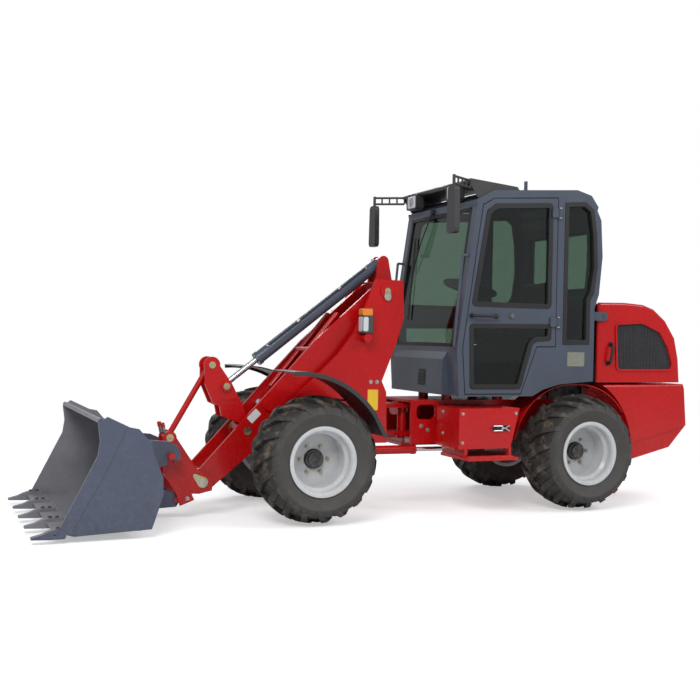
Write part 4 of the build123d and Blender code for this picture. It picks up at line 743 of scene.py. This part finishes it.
def on_screen(share, y, lift):
    """A point on the windshield at a share of its height, lifted off the glass."""
    x = front_low[0] + share * (front_high[0] - front_low[0])
    z = front_low[1] + share * (front_high[1] - front_low[1])
    return Vector((x, y, z)) + front_normal * lift


bm = bmesh.new()
screen = [on_screen(share, y, -screen_sink) for y, share in rectangle(-screen_half, 0, screen_half, 1)]
add_band(bm, screen, 0.026, front_normal * screen_seal_depth, 0.035)
new_piece("windshield_seal", bm, rubber_seal, "chassis", seal_softness)

rear_half, rear_seal_depth = 0.368, 0.030
rear_low, rear_high = (cab_corner[1] + share * cab_height for share in (0.52, 0.82))
rear_x = cab_corner[0] - 0.981 * cab_length
bm = bmesh.new()
rear_window = front_points(rectangle(-rear_half, rear_low, rear_half, rear_high), rear_x)
add_band(bm, rear_window, 0.022, Vector((-rear_seal_depth, 0, 0)), 0.03)
new_piece("rear_window_seal", bm, rubber_seal, "chassis", seal_softness)
print("windshield height", round((on_screen(1, 0, 0) - on_screen(0, 0, 0)).length, 3))

# %% [markdown]
# The doors close on a bar handle with a round lock below the window, and hang on silver hinges. A curved bar is a
# tube through a short route whose corners are rounded first.

# %% Door handles, locks and hinge caps
handle_ends, handle_z, handle_rise = (-0.638, -0.454), 1.285, 0.032
lock_x, lock_z, lock_rise = -0.758, 1.291, 0.010
hinge_x = cab_corner[0] - 0.679 * cab_length
hinge_levels, hinge_half, hinge_out = (0.36, 0.88), 0.030, 0.014
for side, hand in sides:
    door_y = side * cab_half_width
    bm = bmesh.new()
    feet = side_points([(x, handle_z) for x in handle_ends], door_y)
    add_handle(bm, feet, outward(side), handle_rise, 0.009, 0.016)
    for foot in feet:
        add_drum(bm, foot, outward(side), 0.016, 0.006)
    new_piece(f"door_handle_{hand}", bm, rubber_seal, f"door_{hand}", 0.001)

    bm = bmesh.new()
    lock = Vector((lock_x, door_y, lock_z))
    add_drum(bm, lock, outward(side), 0.020, lock_rise, 32, 0.017)
    add_drum(bm, lock + outward(side, lock_rise), outward(side), 0.011, 0.004, 24)
    new_piece(f"door_lock_{hand}", bm, finishes["iron"], f"door_{hand}", 0.001)

    bm = bmesh.new()
    for level in hinge_levels:
        hinge = Vector((hinge_x, door_y + side * hinge_out, cab_corner[1] + level * cab_height))
        for end in (-1, 1):
            add_drum(bm, hinge + Vector((0, 0, end * hinge_half)), (0, 0, end), 0.0115, 0.006)
    new_piece(f"hinge_caps_{hand}", bm, bolt_zinc, f"door_{hand}", 0.001)
print("door fittings", 3 * len(sides))

# %% [markdown]
# A wiper hangs in front of the windshield from a small motor cap: a thin arm and a rubber blade, both parallel to
# the glass, so they are laid out along the glass and lifted off it along its normal.

# %% Wiper
motor_share, motor_y = 1.02, -0.10
arm = [on_screen(motor_share, motor_y, 0.016), on_screen(0.80, -0.20, 0.020), on_screen(0.56, -0.29, 0.010)]
bm = bmesh.new()
add_drum(bm, on_screen(motor_share, motor_y, 0.0), front_normal, 0.020, 0.022)
add_tube(bm, rounded_route(arm, 0.03), 0.005, 8)
new_piece("wiper_arm", bm, rubber_seal, "chassis", 0.001)
bm = bmesh.new()
blade = [on_screen(0.84, -0.325, 0.006), on_screen(0.20, -0.255, 0.006)]
add_tube(bm, blade, 0.006, 6)
new_piece("wiper_blade", bm, rubber_seal, "chassis")
print("wiper blade", round((blade[0] - blade[1]).length, 3))

# %% [markdown]
# The pins of the boom are kept from turning by teardrop plates of yellow zinc, each bolted to the plate beside it.
# A teardrop is the hull of a large and a small disc, drawn as circles on its inner and its outer face.

# %% Lock plates and bolts


def add_teardrop(bm, centre, tip, radius, tip_radius, y, rise):
    """A teardrop plate, the hull of a large and a small disc, from the side plane at y outward."""
    circles = []
    for (x, z), size in ((centre, radius), (tip, tip_radius)):
        for level in (y, y + rise):
            place = Matrix.Translation((x, level, z)) @ Matrix.Rotation(math.pi / 2, 4, "X")
            circles += bmesh.ops.create_circle(bm, segments=28, radius=size, matrix=place)["verts"]
    hull = bmesh.ops.convex_hull(bm, input=circles)
    left_over = set(hull["geom_interior"]) | set(hull["geom_unused"])
    spare = [item for item in left_over if isinstance(item, bmesh.types.BMVert)]
    bmesh.ops.delete(bm, geom=spare, context="VERTS")
    bmesh.ops.dissolve_limit(bm, angle_limit=math.radians(2), verts=bm.verts, edges=bm.edges)


boom_pin, hitch_pin = pivots["lift"], pivots["hitch_level"]
plate_rise = 0.006
# name, body, centre, tip, radius, tip radius, distance out
plates = (
    ("boom_lock", "front", (boom_pin.x, boom_pin.z - 0.040), (boom_pin.x, boom_pin.z), 0.025, 0.020, 0.2115),
    ("hitch_lock", "attachment", (hitch_pin.x, hitch_pin.z), (hitch_pin.x + 0.048, hitch_pin.z + 0.040),
     0.034, 0.014, 0.1775),
)
for side, hand in sides:
    for name, body, centre, tip, radius, tip_radius, out in plates:
        bm = bmesh.new()
        add_teardrop(bm, centre, tip, radius, tip_radius, side * out, side * plate_rise)
        new_piece(f"{name}_{hand}", bm, finishes["zinc"], body, 0.001)
        bm = bmesh.new()
        bolt_place, cap_place = side_points((tip, centre), side * (out + plate_rise))
        add_bolt(bm, bolt_place, outward(side), 0.008)
        add_drum(bm, cap_place, outward(side), 0.022, 0.004, 28)
        new_piece(f"{name}_bolt_{hand}", bm, bolt_zinc, body, 0.0008)
print("lock plates", 2 * len(plates))

# %% [markdown]
# Side bolts come from one table: which node they sit on, which body they ride, and their places (x, z). A ray from
# the side finds the plate, so a head never floats or sinks.

# %% Bolts on the side plates
bolt_softness = 0.0006
# name, node, body, bolt radius, places
side_bolts = (
    ("rail_bolts", "rear_frame", "chassis", 0.011, ((-0.250, 0.548), (-0.300, 0.520))),
    ("box_bolts", "side_boxes", "chassis", 0.008, ((-0.350, 0.655), (-0.350, 0.470), (-0.745, 0.655))),
    ("hitch_bolts", "quick_hitch", "attachment", 0.010, ((1.318, 0.125),)),
    ("tower_bolts", "front_frame", "front", 0.010, ((0.075, 0.840), (0.120, 0.840))),
)
for name, node, body, radius, places in side_bolts:
    for side, hand in sides:
        bm = bmesh.new()
        for x, z in places:
            add_bolt(bm, landed_side(node, side, x, z), outward(side), radius)
        new_piece(f"{name}_{hand}", bm, bolt_zinc, body, bolt_softness)
print("side bolts", sum(2 * len(row[4]) for row in side_bolts))

# %% [markdown]
# Where the pins of the crank and the hitch come out of their plates, each end shows as a zinc disc with a small
# bolt that holds it. The disc sinks a little into the plate, so that no gap shows under it.

# %% Pin ends on the crank and the hitch
end_sink, end_length = 0.001, 0.005
# name, node, body, pin radius, place
pin_ends = (
    ("tilt_pin_end", "bell_crank", "bell_crank", 0.021, (1.055, 0.806)),
    ("link_pin_end", "quick_hitch", "attachment", 0.024, (1.408, 0.487)),
)
for name, node, body, radius, place in pin_ends:
    for side, hand in sides:
        foot = landed_side(node, side, *place) - outward(side, end_sink)
        bm = bmesh.new()
        add_drum(bm, foot, outward(side), radius, end_length, 32)
        add_bolt(bm, foot + outward(side, end_length), outward(side), 0.006)
        new_piece(f"{name}_{hand}", bm, finishes["zinc"], body, 0.001)
print("pin ends", 2 * len(pin_ends))

# %% [markdown]
# The side boxes are also bolted through their front faces, two bolts on each side. Here the ray comes from the
# front.

# %% Bolts on the side boxes' front faces
face_bolt_y, face_bolt_levels = 0.385, (0.655, 0.515)
for side, hand in sides:
    bm = bmesh.new()
    for z in face_bolt_levels:
        add_bolt(bm, landed("side_boxes", (0.3, side * face_bolt_y, z), backward), (1, 0, 0), 0.010)
    new_piece(f"box_front_bolts_{hand}", bm, bolt_zinc, "chassis", bolt_softness)
print("front face bolts", 2 * len(face_bolt_levels))

# %% [markdown]
# Each bucket tooth is bolted to the cutting edge with two heads on its upper arm. Weld seams run where the curved
# sheet meets the side plates and behind the cutting edge. Rays from inside the bucket find the sheet.

# %% Tooth bolts and weld seams
tooth_count, tooth_pitch, tooth_bolt_x = 5, 0.341, (2.112, 2.150)
above_edge = 0.40
bm = bmesh.new()
for count in range(tooth_count):
    for x in tooth_bolt_x:
        point = landed("bucket", (x, (count - tooth_count // 2) * tooth_pitch, above_edge), downward)
        add_bolt(bm, point - Vector((0, 0, 0.001)), (0, 0, 1), 0.011)
new_piece("tooth_bolts", bm, finishes["dark_metal"], "attachment", 0.0008)

bucket_heart, ray_y, seam_y, seam_radius = Vector((1.86, 0, 0.36)), 0.66, 0.690, 0.0045
for side, hand in sides:
    seam = []
    for degrees in range(262, 78, -8):
        angle = math.radians(degrees)
        heading = Vector((math.cos(angle), 0, math.sin(angle)))
        point = landed("bucket", bucket_heart + outward(side, ray_y), heading)
        seam.append(Vector((point.x, side * seam_y, point.z)) - heading * 0.001)
    bm = bmesh.new()
    add_tube(bm, seam, seam_radius, 8)
    new_piece(f"bucket_side_seam_{hand}", bm, weld_slate, "attachment")
bm = bmesh.new()
add_tube(bm, [landed("bucket", (2.054, y, above_edge), downward) for y in (-0.688, 0.688)], 0.005, 8)
new_piece("bucket_edge_seam", bm, weld_slate, "attachment")
print("tooth bolts", tooth_count * len(tooth_bolt_x), "points in a side seam", len(seam))

# %% [markdown]
# The lamps on the tower are dark housings with an amber cap on top and a clear lens in front. The CAD body stays
# as the housing, and thin moulded shells sit on it: the cap, the front lens, and a lens on the outer side.

# %% Front lamps
lamp_inner, lamp_outer = 0.208, 0.2765
nodes["front_lamps"].data.materials[0] = finishes["dark_plastic"]
for side, hand in sides:
    bm = bmesh.new()
    cap = side_points(rectangle(0.146, 1.272, 0.2165, 1.3165), side * lamp_inner)
    add_slab(bm, cap, outward(side, lamp_outer - lamp_inner), 0.008)
    new_piece(f"lamp_amber_{hand}", bm, finishes["lamp_plastic"], "front", 0.003, 3)
    bm = bmesh.new()
    front_lens = front_points(rectangle(side * 0.214, 1.168, side * 0.269, 1.264), 0.214)
    add_slab(bm, front_lens, Vector((0.0045, 0, 0)), 0.010)
    side_lens = side_points(rectangle(0.176, 1.170, 0.212, 1.262), side * 0.2745)
    add_slab(bm, side_lens, outward(side, 0.003), 0.010)
    new_piece(f"lamp_clear_{hand}", bm, lens_clear, "front", 0.0015)
print("front lamps", len(sides))

# %% [markdown]
# The work lamps' lenses lie behind their bezels, and show a round reflector with a small bulb in its middle. The
# mirrors' glass faces the driver, at the back of each housing.

# %% Work lamps and mirrors
lens_x, lamp_y, lamp_z = -0.4035, 0.295, 2.105
lens_half_width, lens_half_height, lens_depth = 0.063, 0.043, 0.003
mirror_x, mirror_y, mirror_low, mirror_high = -0.2665, 0.600, 1.814, 2.086
for side, hand in sides:
    bm = bmesh.new()
    lens = rectangle(-lens_half_width, lamp_z - lens_half_height, lens_half_width, lamp_z + lens_half_height)
    add_slab(bm, front_points(lens, lens_x, side * lamp_y), Vector((lens_depth, 0, 0)), 0.012)
    new_piece(f"work_lamp_lens_{hand}", bm, lens_clear, "chassis", 0.001)
    bm = bmesh.new()
    reflector = Vector((lens_x + lens_depth, side * lamp_y, lamp_z))
    add_drum(bm, reflector, (1, 0, 0), 0.034, 0.0022, 32, 0.031)
    add_drum(bm, reflector + Vector((0.002, 0, 0)), (1, 0, 0), 0.012, 0.002, 20, 0.009)
    new_piece(f"work_lamp_reflector_{hand}", bm, steel_silver, "chassis", 0.0006)
    bm = bmesh.new()
    mirror = ((-0.046, mirror_low), (0.046, mirror_low), (0.038, mirror_high), (-0.038, mirror_high))
    add_slab(bm, front_points(mirror, mirror_x, side * mirror_y), Vector((-0.003, 0, 0)), 0.018)
    new_piece(f"mirror_glass_{hand}", bm, mirror_glass, "chassis", 0.001)
print("work lamps and mirrors", 2 * len(sides))

# %% [markdown]
# Plates and signs on the machine are kept as blank plates: a yellow one at the tower's foot, a white one aslant on
# the boom, and a riveted metal one low on the cab.

# %% Blank plates
sign_thickness, data_thickness, plate_corner = 0.0012, 0.0016, 0.006
rivet_inset = 0.010
bm = bmesh.new()
tower_face = landed_side("front_frame", 1, 0.10, 0.72).y
yellow_corners = side_points(rectangle(0.066, 0.655, 0.140, 0.790), tower_face)
add_slab(bm, yellow_corners, outward(1, sign_thickness), plate_corner)
new_piece("yellow_plate", bm, sign_yellow, "front")

bm = bmesh.new()
boom_face = landed_side("boom", 1, 0.89, 0.62).y
white_middle = Vector((0.893, boom_face, 0.622))
half_long = Vector((-1, 0, 1)).normalized() * 0.042
half_wide = Vector((1, 0, 1)).normalized() * 0.025
white_corners = [white_middle + half_long * a + half_wide * b for a, b in rectangle(-1, -1, 1, 1)]
add_slab(bm, white_corners, outward(1, sign_thickness), plate_corner)
new_piece("white_plate", bm, sign_white, "boom")

bm = bmesh.new()
data_front, data_low, data_rear, data_high = -1.205, 0.962, -1.345, 1.058
data_corners = side_points(rectangle(data_front, data_low, data_rear, data_high), cab_half_width)
add_slab(bm, data_corners, outward(1, data_thickness), plate_corner)
rivets = rectangle(
    data_front - rivet_inset, data_low + rivet_inset, data_rear + rivet_inset, data_high - rivet_inset)
for rivet in side_points(rivets, cab_half_width + 0.0014):
    add_drum(bm, rivet, (0, 1, 0), 0.004, 0.002, 12, 0.003)
new_piece("data_plate", bm, plate_olive, "chassis")
print("blank plates 3, boom face at y", round(boom_face, 4))

# %% [markdown]
# The hood is lifted by a black D-handle on each side. Its two feet stand on the hood's side panel, each on a small
# round plate.

# %% Hood handles
hood_handle_feet, hood_handle_rise = ((-1.578, 0.985), (-1.600, 1.115)), 0.034


def make_hood_handle(side, hand):
    """A bar handle on the hood's side panel."""
    bm = bmesh.new()
    feet = side_points(hood_handle_feet, side * hood_half_width)
    add_handle(bm, feet, outward(side), hood_handle_rise, 0.010, 0.020)
    for foot in feet:
        add_drum(bm, foot, outward(side), 0.018, 0.006)
    new_piece(f"hood_handle_{hand}", bm, rubber_seal, "hood", 0.001)


print("hood handle rise", hood_handle_rise)

# %% [markdown]
# The side boxes open with a steel fork handle that lies in an oval cup. The cup is a band on the box with a dark
# sheet in it, and the fork is six short bars around a round boss.

# %% Box latches
cup_x, cup_z, cup_half_length, cup_half_height = -0.632, 0.560, 0.078, 0.026
cup_angles = [math.radians(15 * count) for count in range(24)]
cup = [(cup_x + cup_half_length * math.cos(a), cup_z + cup_half_height * math.sin(a)) for a in cup_angles]
fork_out, fork_radius, boss = 0.008, 0.0045, (-0.640, 0.560)
fork_bars = (
    ((-0.575, 0.575), (-0.640, 0.575)), ((-0.575, 0.545), (-0.640, 0.545)), ((-0.640, 0.578), (-0.640, 0.542)),
    (boss, (-0.662, 0.560)), ((-0.662, 0.560), (-0.692, 0.578)), ((-0.662, 0.560), (-0.692, 0.542)),
)


def make_latch(side, hand):
    """An oval cup with a dark sheet and a fork handle, on the outer face of a side box."""
    box_y = landed_side("side_boxes", side, -0.62, 0.56).y
    bm = bmesh.new()
    add_band(bm, side_points(cup, box_y), 0.006, outward(side, 0.003), 0.0)
    new_piece(f"latch_cup_{hand}", bm, finishes["red_paint"], "chassis", 0.001)
    bm = bmesh.new()
    add_slab(bm, side_points(cup, box_y), outward(side, 0.0008))
    new_piece(f"latch_shade_{hand}", bm, rubber_seal, "chassis")
    bm = bmesh.new()
    for points in fork_bars:
        add_tube(bm, side_points(points, box_y + side * fork_out), fork_radius, 8)
    add_drum(bm, Vector((boss[0], box_y, boss[1])), outward(side), 0.008, 0.010, 16)
    new_piece(f"latch_fork_{hand}", bm, steel_silver, "chassis", 0.0006)


print("bars in a latch's fork", len(fork_bars))

# %% [markdown]
# Three rows of small teeth keep a boot from slipping on each step. A tooth is a blunt pyramid, a four-sided post
# that tapers, and a ray from above finds the step under it. One loop then makes all the fittings of both sides.

# %% Step teeth, and the fittings of both sides
step_front, step_tooth_pitch, teeth_in_row = -0.385, 0.0205, 16
row_reaches, above_step = (0.620, 0.640, 0.658), 0.60
tooth_foot, tooth_tip, tooth_height, tooth_sink = 0.008, 0.002, 0.008, 0.0005


def make_step_teeth(side, hand):
    """Rows of small teeth on the step of a side box."""
    bm = bmesh.new()
    for count in range(teeth_in_row):
        for reach in row_reaches:
            start = (step_front - count * step_tooth_pitch, side * reach, above_step)
            foot = landed("side_boxes", start, downward) - Vector((0, 0, tooth_sink))
            add_drum(bm, foot, (0, 0, 1), tooth_foot, tooth_height, 4, tooth_tip)
    new_piece(f"step_teeth_{hand}", bm, finishes["red_paint"], "chassis")


for side, hand in sides:
    make_hood_handle(side, hand)
    make_latch(side, hand)
    make_step_teeth(side, hand)
print("step teeth", len(sides) * teeth_in_row * len(row_reaches))

# %% [markdown]
# A hard line runs along the tilt cylinder, from a port near its base to one near its end, in two clamps. Its
# places are given by the distance along the barrel and the rise off the barrel's axis, up and to the left.

# %% Hard line on the tilt cylinder
tilt_pin, tilt_eye = pivots["tilt_barrel_turn"], Vector((1.055, 0, 0.806))
barrel_start = Vector((tilt_pin.x, 0, tilt_pin.z))
along = (tilt_eye - barrel_start).normalized()
lift_off = (Vector((-along.z, 0, along.x)) + Vector((0, 1, 0))).normalized()
port_distances, port_rise, line_rise = (0.125, 0.98), 0.036, 0.020
clamp_distances, clamp_rise, clamp_length = (0.36, 0.72), 0.052, 0.024


def on_barrel(distance, rise):
    """A point a distance along the tilt barrel and a rise off its axis."""
    return barrel_start + along * distance + lift_off * rise


ports = [on_barrel(distance, port_rise) for distance in port_distances]
bm = bmesh.new()
add_handle(bm, ports, lift_off, line_rise, 0.006, 0.012)
new_piece("tilt_hard_line", bm, finishes["cab_paint"], "tilt_barrel")
bm = bmesh.new()
for port in ports:
    add_drum(bm, port, lift_off, 0.012, 0.018, 6)
for distance in clamp_distances:
    add_drum(bm, on_barrel(distance - clamp_length / 2, clamp_rise), along, 0.011, clamp_length, 12)
new_piece("tilt_line_clamps", bm, bolt_zinc, "tilt_barrel", 0.0008)
print("hard line", round((ports[1] - ports[0]).length, 3))

# %% [markdown]
# A quick coupler with a red dust cap stands on each side of the hitch, for attachments that need oil: a hexagon
# foot, a round collar and the cap, one after another along a line that leans a little forward.

# %% Quick couplers
coupler_x, coupler_y = 1.438, 0.047
lean = Vector((0.25, 0, 1)).normalized()
for side, hand in sides:
    foot = landed("quick_hitch", (coupler_x, side * coupler_y, 1.0), downward)
    bm = bmesh.new()
    add_drum(bm, foot - lean * 0.004, lean, 0.013, 0.024, 6)
    add_drum(bm, foot + lean * 0.020, lean, 0.0115, 0.016, 20)
    new_piece(f"coupler_{hand}", bm, bolt_zinc, "attachment", 0.0008)
    bm = bmesh.new()
    add_drum(bm, foot + lean * 0.036, lean, 0.0135, 0.030, 28, 0.0125)
    new_piece(f"coupler_caps_{hand}", bm, cap_red, "attachment", 0.002)
print("couplers", len(sides))

# %% [markdown]
# The steering wheel is a thin disc in CAD. A padded rim, three flat spokes and a boss turn it into a real wheel.
# A torus comes from spinning a small circle a full turn about the column's axis.

# %% Steering wheel
column_foot, column_top = Vector((-0.532, 0, 0.780)), Vector((-0.724, 0, 1.483))
column = (column_top - column_foot).normalized()
across = Vector((0, 1, 0))
rim_middle, rim_reach, rim_thickness = column_top + column * 0.010, 0.180, 0.014
spoke_turns = (90, 210, 330)
bm = bmesh.new()
start = aligned(rim_middle + across * rim_reach, across.cross(column))
ring = bmesh.ops.create_circle(bm, segments=12, radius=rim_thickness, matrix=start)["verts"]
ring_edges = list({edge for vert in ring for edge in vert.link_edges})
bmesh.ops.spin(bm, geom=ring + ring_edges, cent=rim_middle, axis=column, angle=math.tau, steps=40, use_merge=True)
for degrees in spoke_turns:
    spoke = Matrix.Rotation(math.radians(degrees), 3, column) @ across
    spoke_end = column_top + column * 0.012 + spoke * (rim_reach - 0.006)
    add_tube(bm, [column_top + column * 0.016, spoke_end], 0.012, 8)
add_drum(bm, column_top + column * 0.008, column, 0.045, 0.022, 28, 0.036)
new_piece("steering_rim", bm, finishes["black_plastic"], "chassis", 0.002)
print("steering wheel reach", rim_reach)

# %% [markdown]
# The front cover under the windshield has a dark air slot with fins. The slot is a rounded slab with a few thin
# bars on it.

# %% Front cover slot
slot_right, slot_left, slot_low, slot_high = 0.02, 0.13, 0.815, 0.925
fin_ends, fin_count, fin_start, fin_pitch = (0.028, 0.122), 4, 0.836, 0.022


def on_cover(y, z):
    """The point of the front cover at y and z."""
    return landed("cab_front", (0.4, y, z), backward)


bm = bmesh.new()
slot = [on_cover(y, z) for y, z in rectangle(slot_right, slot_low, slot_left, slot_high)]
add_slab(bm, slot, Vector((0.0015, 0, 0)), 0.012)
for count in range(fin_count):
    z = fin_start + count * fin_pitch
    add_tube(bm, [on_cover(y, z) + Vector((0.002, 0, 0)) for y in fin_ends], 0.003, 6)
new_piece("cover_slot", bm, rubber_seal, "chassis")
print("cover slot fins", fin_count)

# %% [markdown]
# The grilles are covered by a fine wire mesh. A flat grid is cut to the grille's outline by one plane for each
# edge, and a Wireframe modifier turns its edges into wires.

# %% Wire mesh on the grilles
grille_shares = (
    (0.22, 0.72), (0.52, 0.745), (0.73, 0.635), (0.83, 0.45), (0.885, 0.245), (0.87, 0.17), (0.24, 0.165))
grille = outline(hood_corner, grille_shares, hood_length, hood_height)
grille_x, grille_z = (sum(values) / len(values) for values in zip(*grille))
wire_pitch, wire_thickness, wire_y = 0.009, 0.0022, 0.4432
cells_long, cells_high = 60, 44
upright = Matrix.Rotation(math.pi / 2, 4, "X")
for side, hand in sides:
    bm = bmesh.new()
    heart = Vector((grille_x, side * wire_y, grille_z))
    cell_size = Matrix.Diagonal((cells_long * wire_pitch, cells_high * wire_pitch, 1, 1))
    bmesh.ops.create_grid(bm, x_segments=cells_long, y_segments=cells_high, size=0.5,
                          matrix=Matrix.Translation(heart) @ upright @ cell_size)
    for first, second in zip(grille, grille[1:] + grille[:1]):
        edge = Vector((second[0] - first[0], 0, second[1] - first[1]))
        on_edge = Vector((first[0], side * wire_y, first[1]))
        away = edge.cross(Vector((0, 1, 0)))
        if away.dot(on_edge - heart) < 0:
            away = -away
        everything = bm.verts[:] + bm.edges[:] + bm.faces[:]
        bmesh.ops.bisect_plane(bm, geom=everything, plane_co=on_edge, plane_no=away, clear_outer=True)
    wires = new_piece(f"grille_wire_{hand}", bm, finishes["dark_metal"], "hood").modifiers.new("wires", "WIREFRAME")
    wires.thickness = wire_thickness
print("wire mesh pitch", wire_pitch)

# %% [markdown]
# The seat is foam under cloth, so its CAD blocks are replaced by two crowned cushions. Each starts as a bevelled
# block a little smaller than its space, is remeshed into small even faces, and is blown up by a short cloth
# simulation with gravity off. How far a point may move is capped, the result is applied, and a level of
# subdivision smooths it.

# %% Padded seat
seat_low, seat_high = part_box("seat")
seat_top = 1.251
swell_cap = 0.014
cloth_frames = 20


def capped(start, end, most):
    """The end point, brought back to at most a distance from the start."""
    move = end - start
    return start + move * (most / move.length) if move.length > most else end


def bake(piece):
    """Applies a piece's modifiers to its mesh."""
    shaped = bpy.data.meshes.new_from_object(piece.evaluated_get(bpy.context.evaluated_depsgraph_get()))
    piece.modifiers.clear()
    piece.data = shaped


def make_cushion(name, low, high, crown=0.0):
    """A crowned cushion in a box; crown narrows its upper part toward the top."""
    low, high = Vector(low), Vector(high)
    size, middle = high - low, (low + high) / 2
    bm = bmesh.new()
    bmesh.ops.create_cube(bm, size=1.0, matrix=Matrix.Translation(middle) @ Matrix.Diagonal((*size, 1)))
    bmesh.ops.bevel(bm, geom=list(bm.edges), offset=min(size) * 0.32, offset_type="OFFSET", segments=4, profile=0.5,
                    affect="EDGES", material=-1)
    for vert in bm.verts:
        over = max(0.0, (vert.co.z - low.z) / size.z - 0.55)
        vert.co.y = middle.y + (vert.co.y - middle.y) * (1 - crown * over ** 2)
    mesh = bpy.data.meshes.new(name)
    bm.to_mesh(mesh)
    bm.free()
    cushion = bpy.data.objects.new(name, mesh)
    scene.collection.objects.link(cushion)
    bpy.context.view_layer.objects.active = cushion
    remesh = cushion.modifiers.new("even_faces", "REMESH")
    remesh.mode, remesh.voxel_size = "VOXEL", 0.006
    bake(cushion)
    before = [vert.co.copy() for vert in cushion.data.vertices]
    cloth = cushion.modifiers.new("swell", "CLOTH")
    cloth.settings.use_pressure = True
    cloth.settings.uniform_pressure_force = 4
    cloth.settings.effector_weights.gravity = 0
    cloth.settings.quality = 5
    cloth.point_cache.frame_end = cloth_frames
    for moment in range(1, cloth_frames + 1):
        scene.frame_set(moment)
    bake(cushion)
    scene.frame_set(1)
    for vert, start in zip(cushion.data.vertices, before):
        vert.co = capped(start, vert.co, swell_cap)
    smooth = cushion.modifiers.new("smooth", "SUBSURF")
    smooth.levels = smooth.render_levels = 1
    bake(cushion)
    cushion.data.shade_smooth()
    cushion.data.materials.append(finishes["seat_fabric"])
    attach(cushion, "chassis")
    return cushion


cushion = make_cushion(
    "seat_cushion", (seat_low.x + 0.030, -0.205, seat_low.z + 0.004), (seat_high.x - 0.010, 0.205, seat_top - 0.016))
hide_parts("seat")
backrest = make_cushion(
    "seat_backrest", (seat_low.x + 0.016, -0.200, seat_top - 0.030),
    (seat_low.x + 0.104, 0.200, seat_high.z - 0.012), crown=1.2)
print("seat", len(cushion.data.polygons), len(backrest.data.polygons))
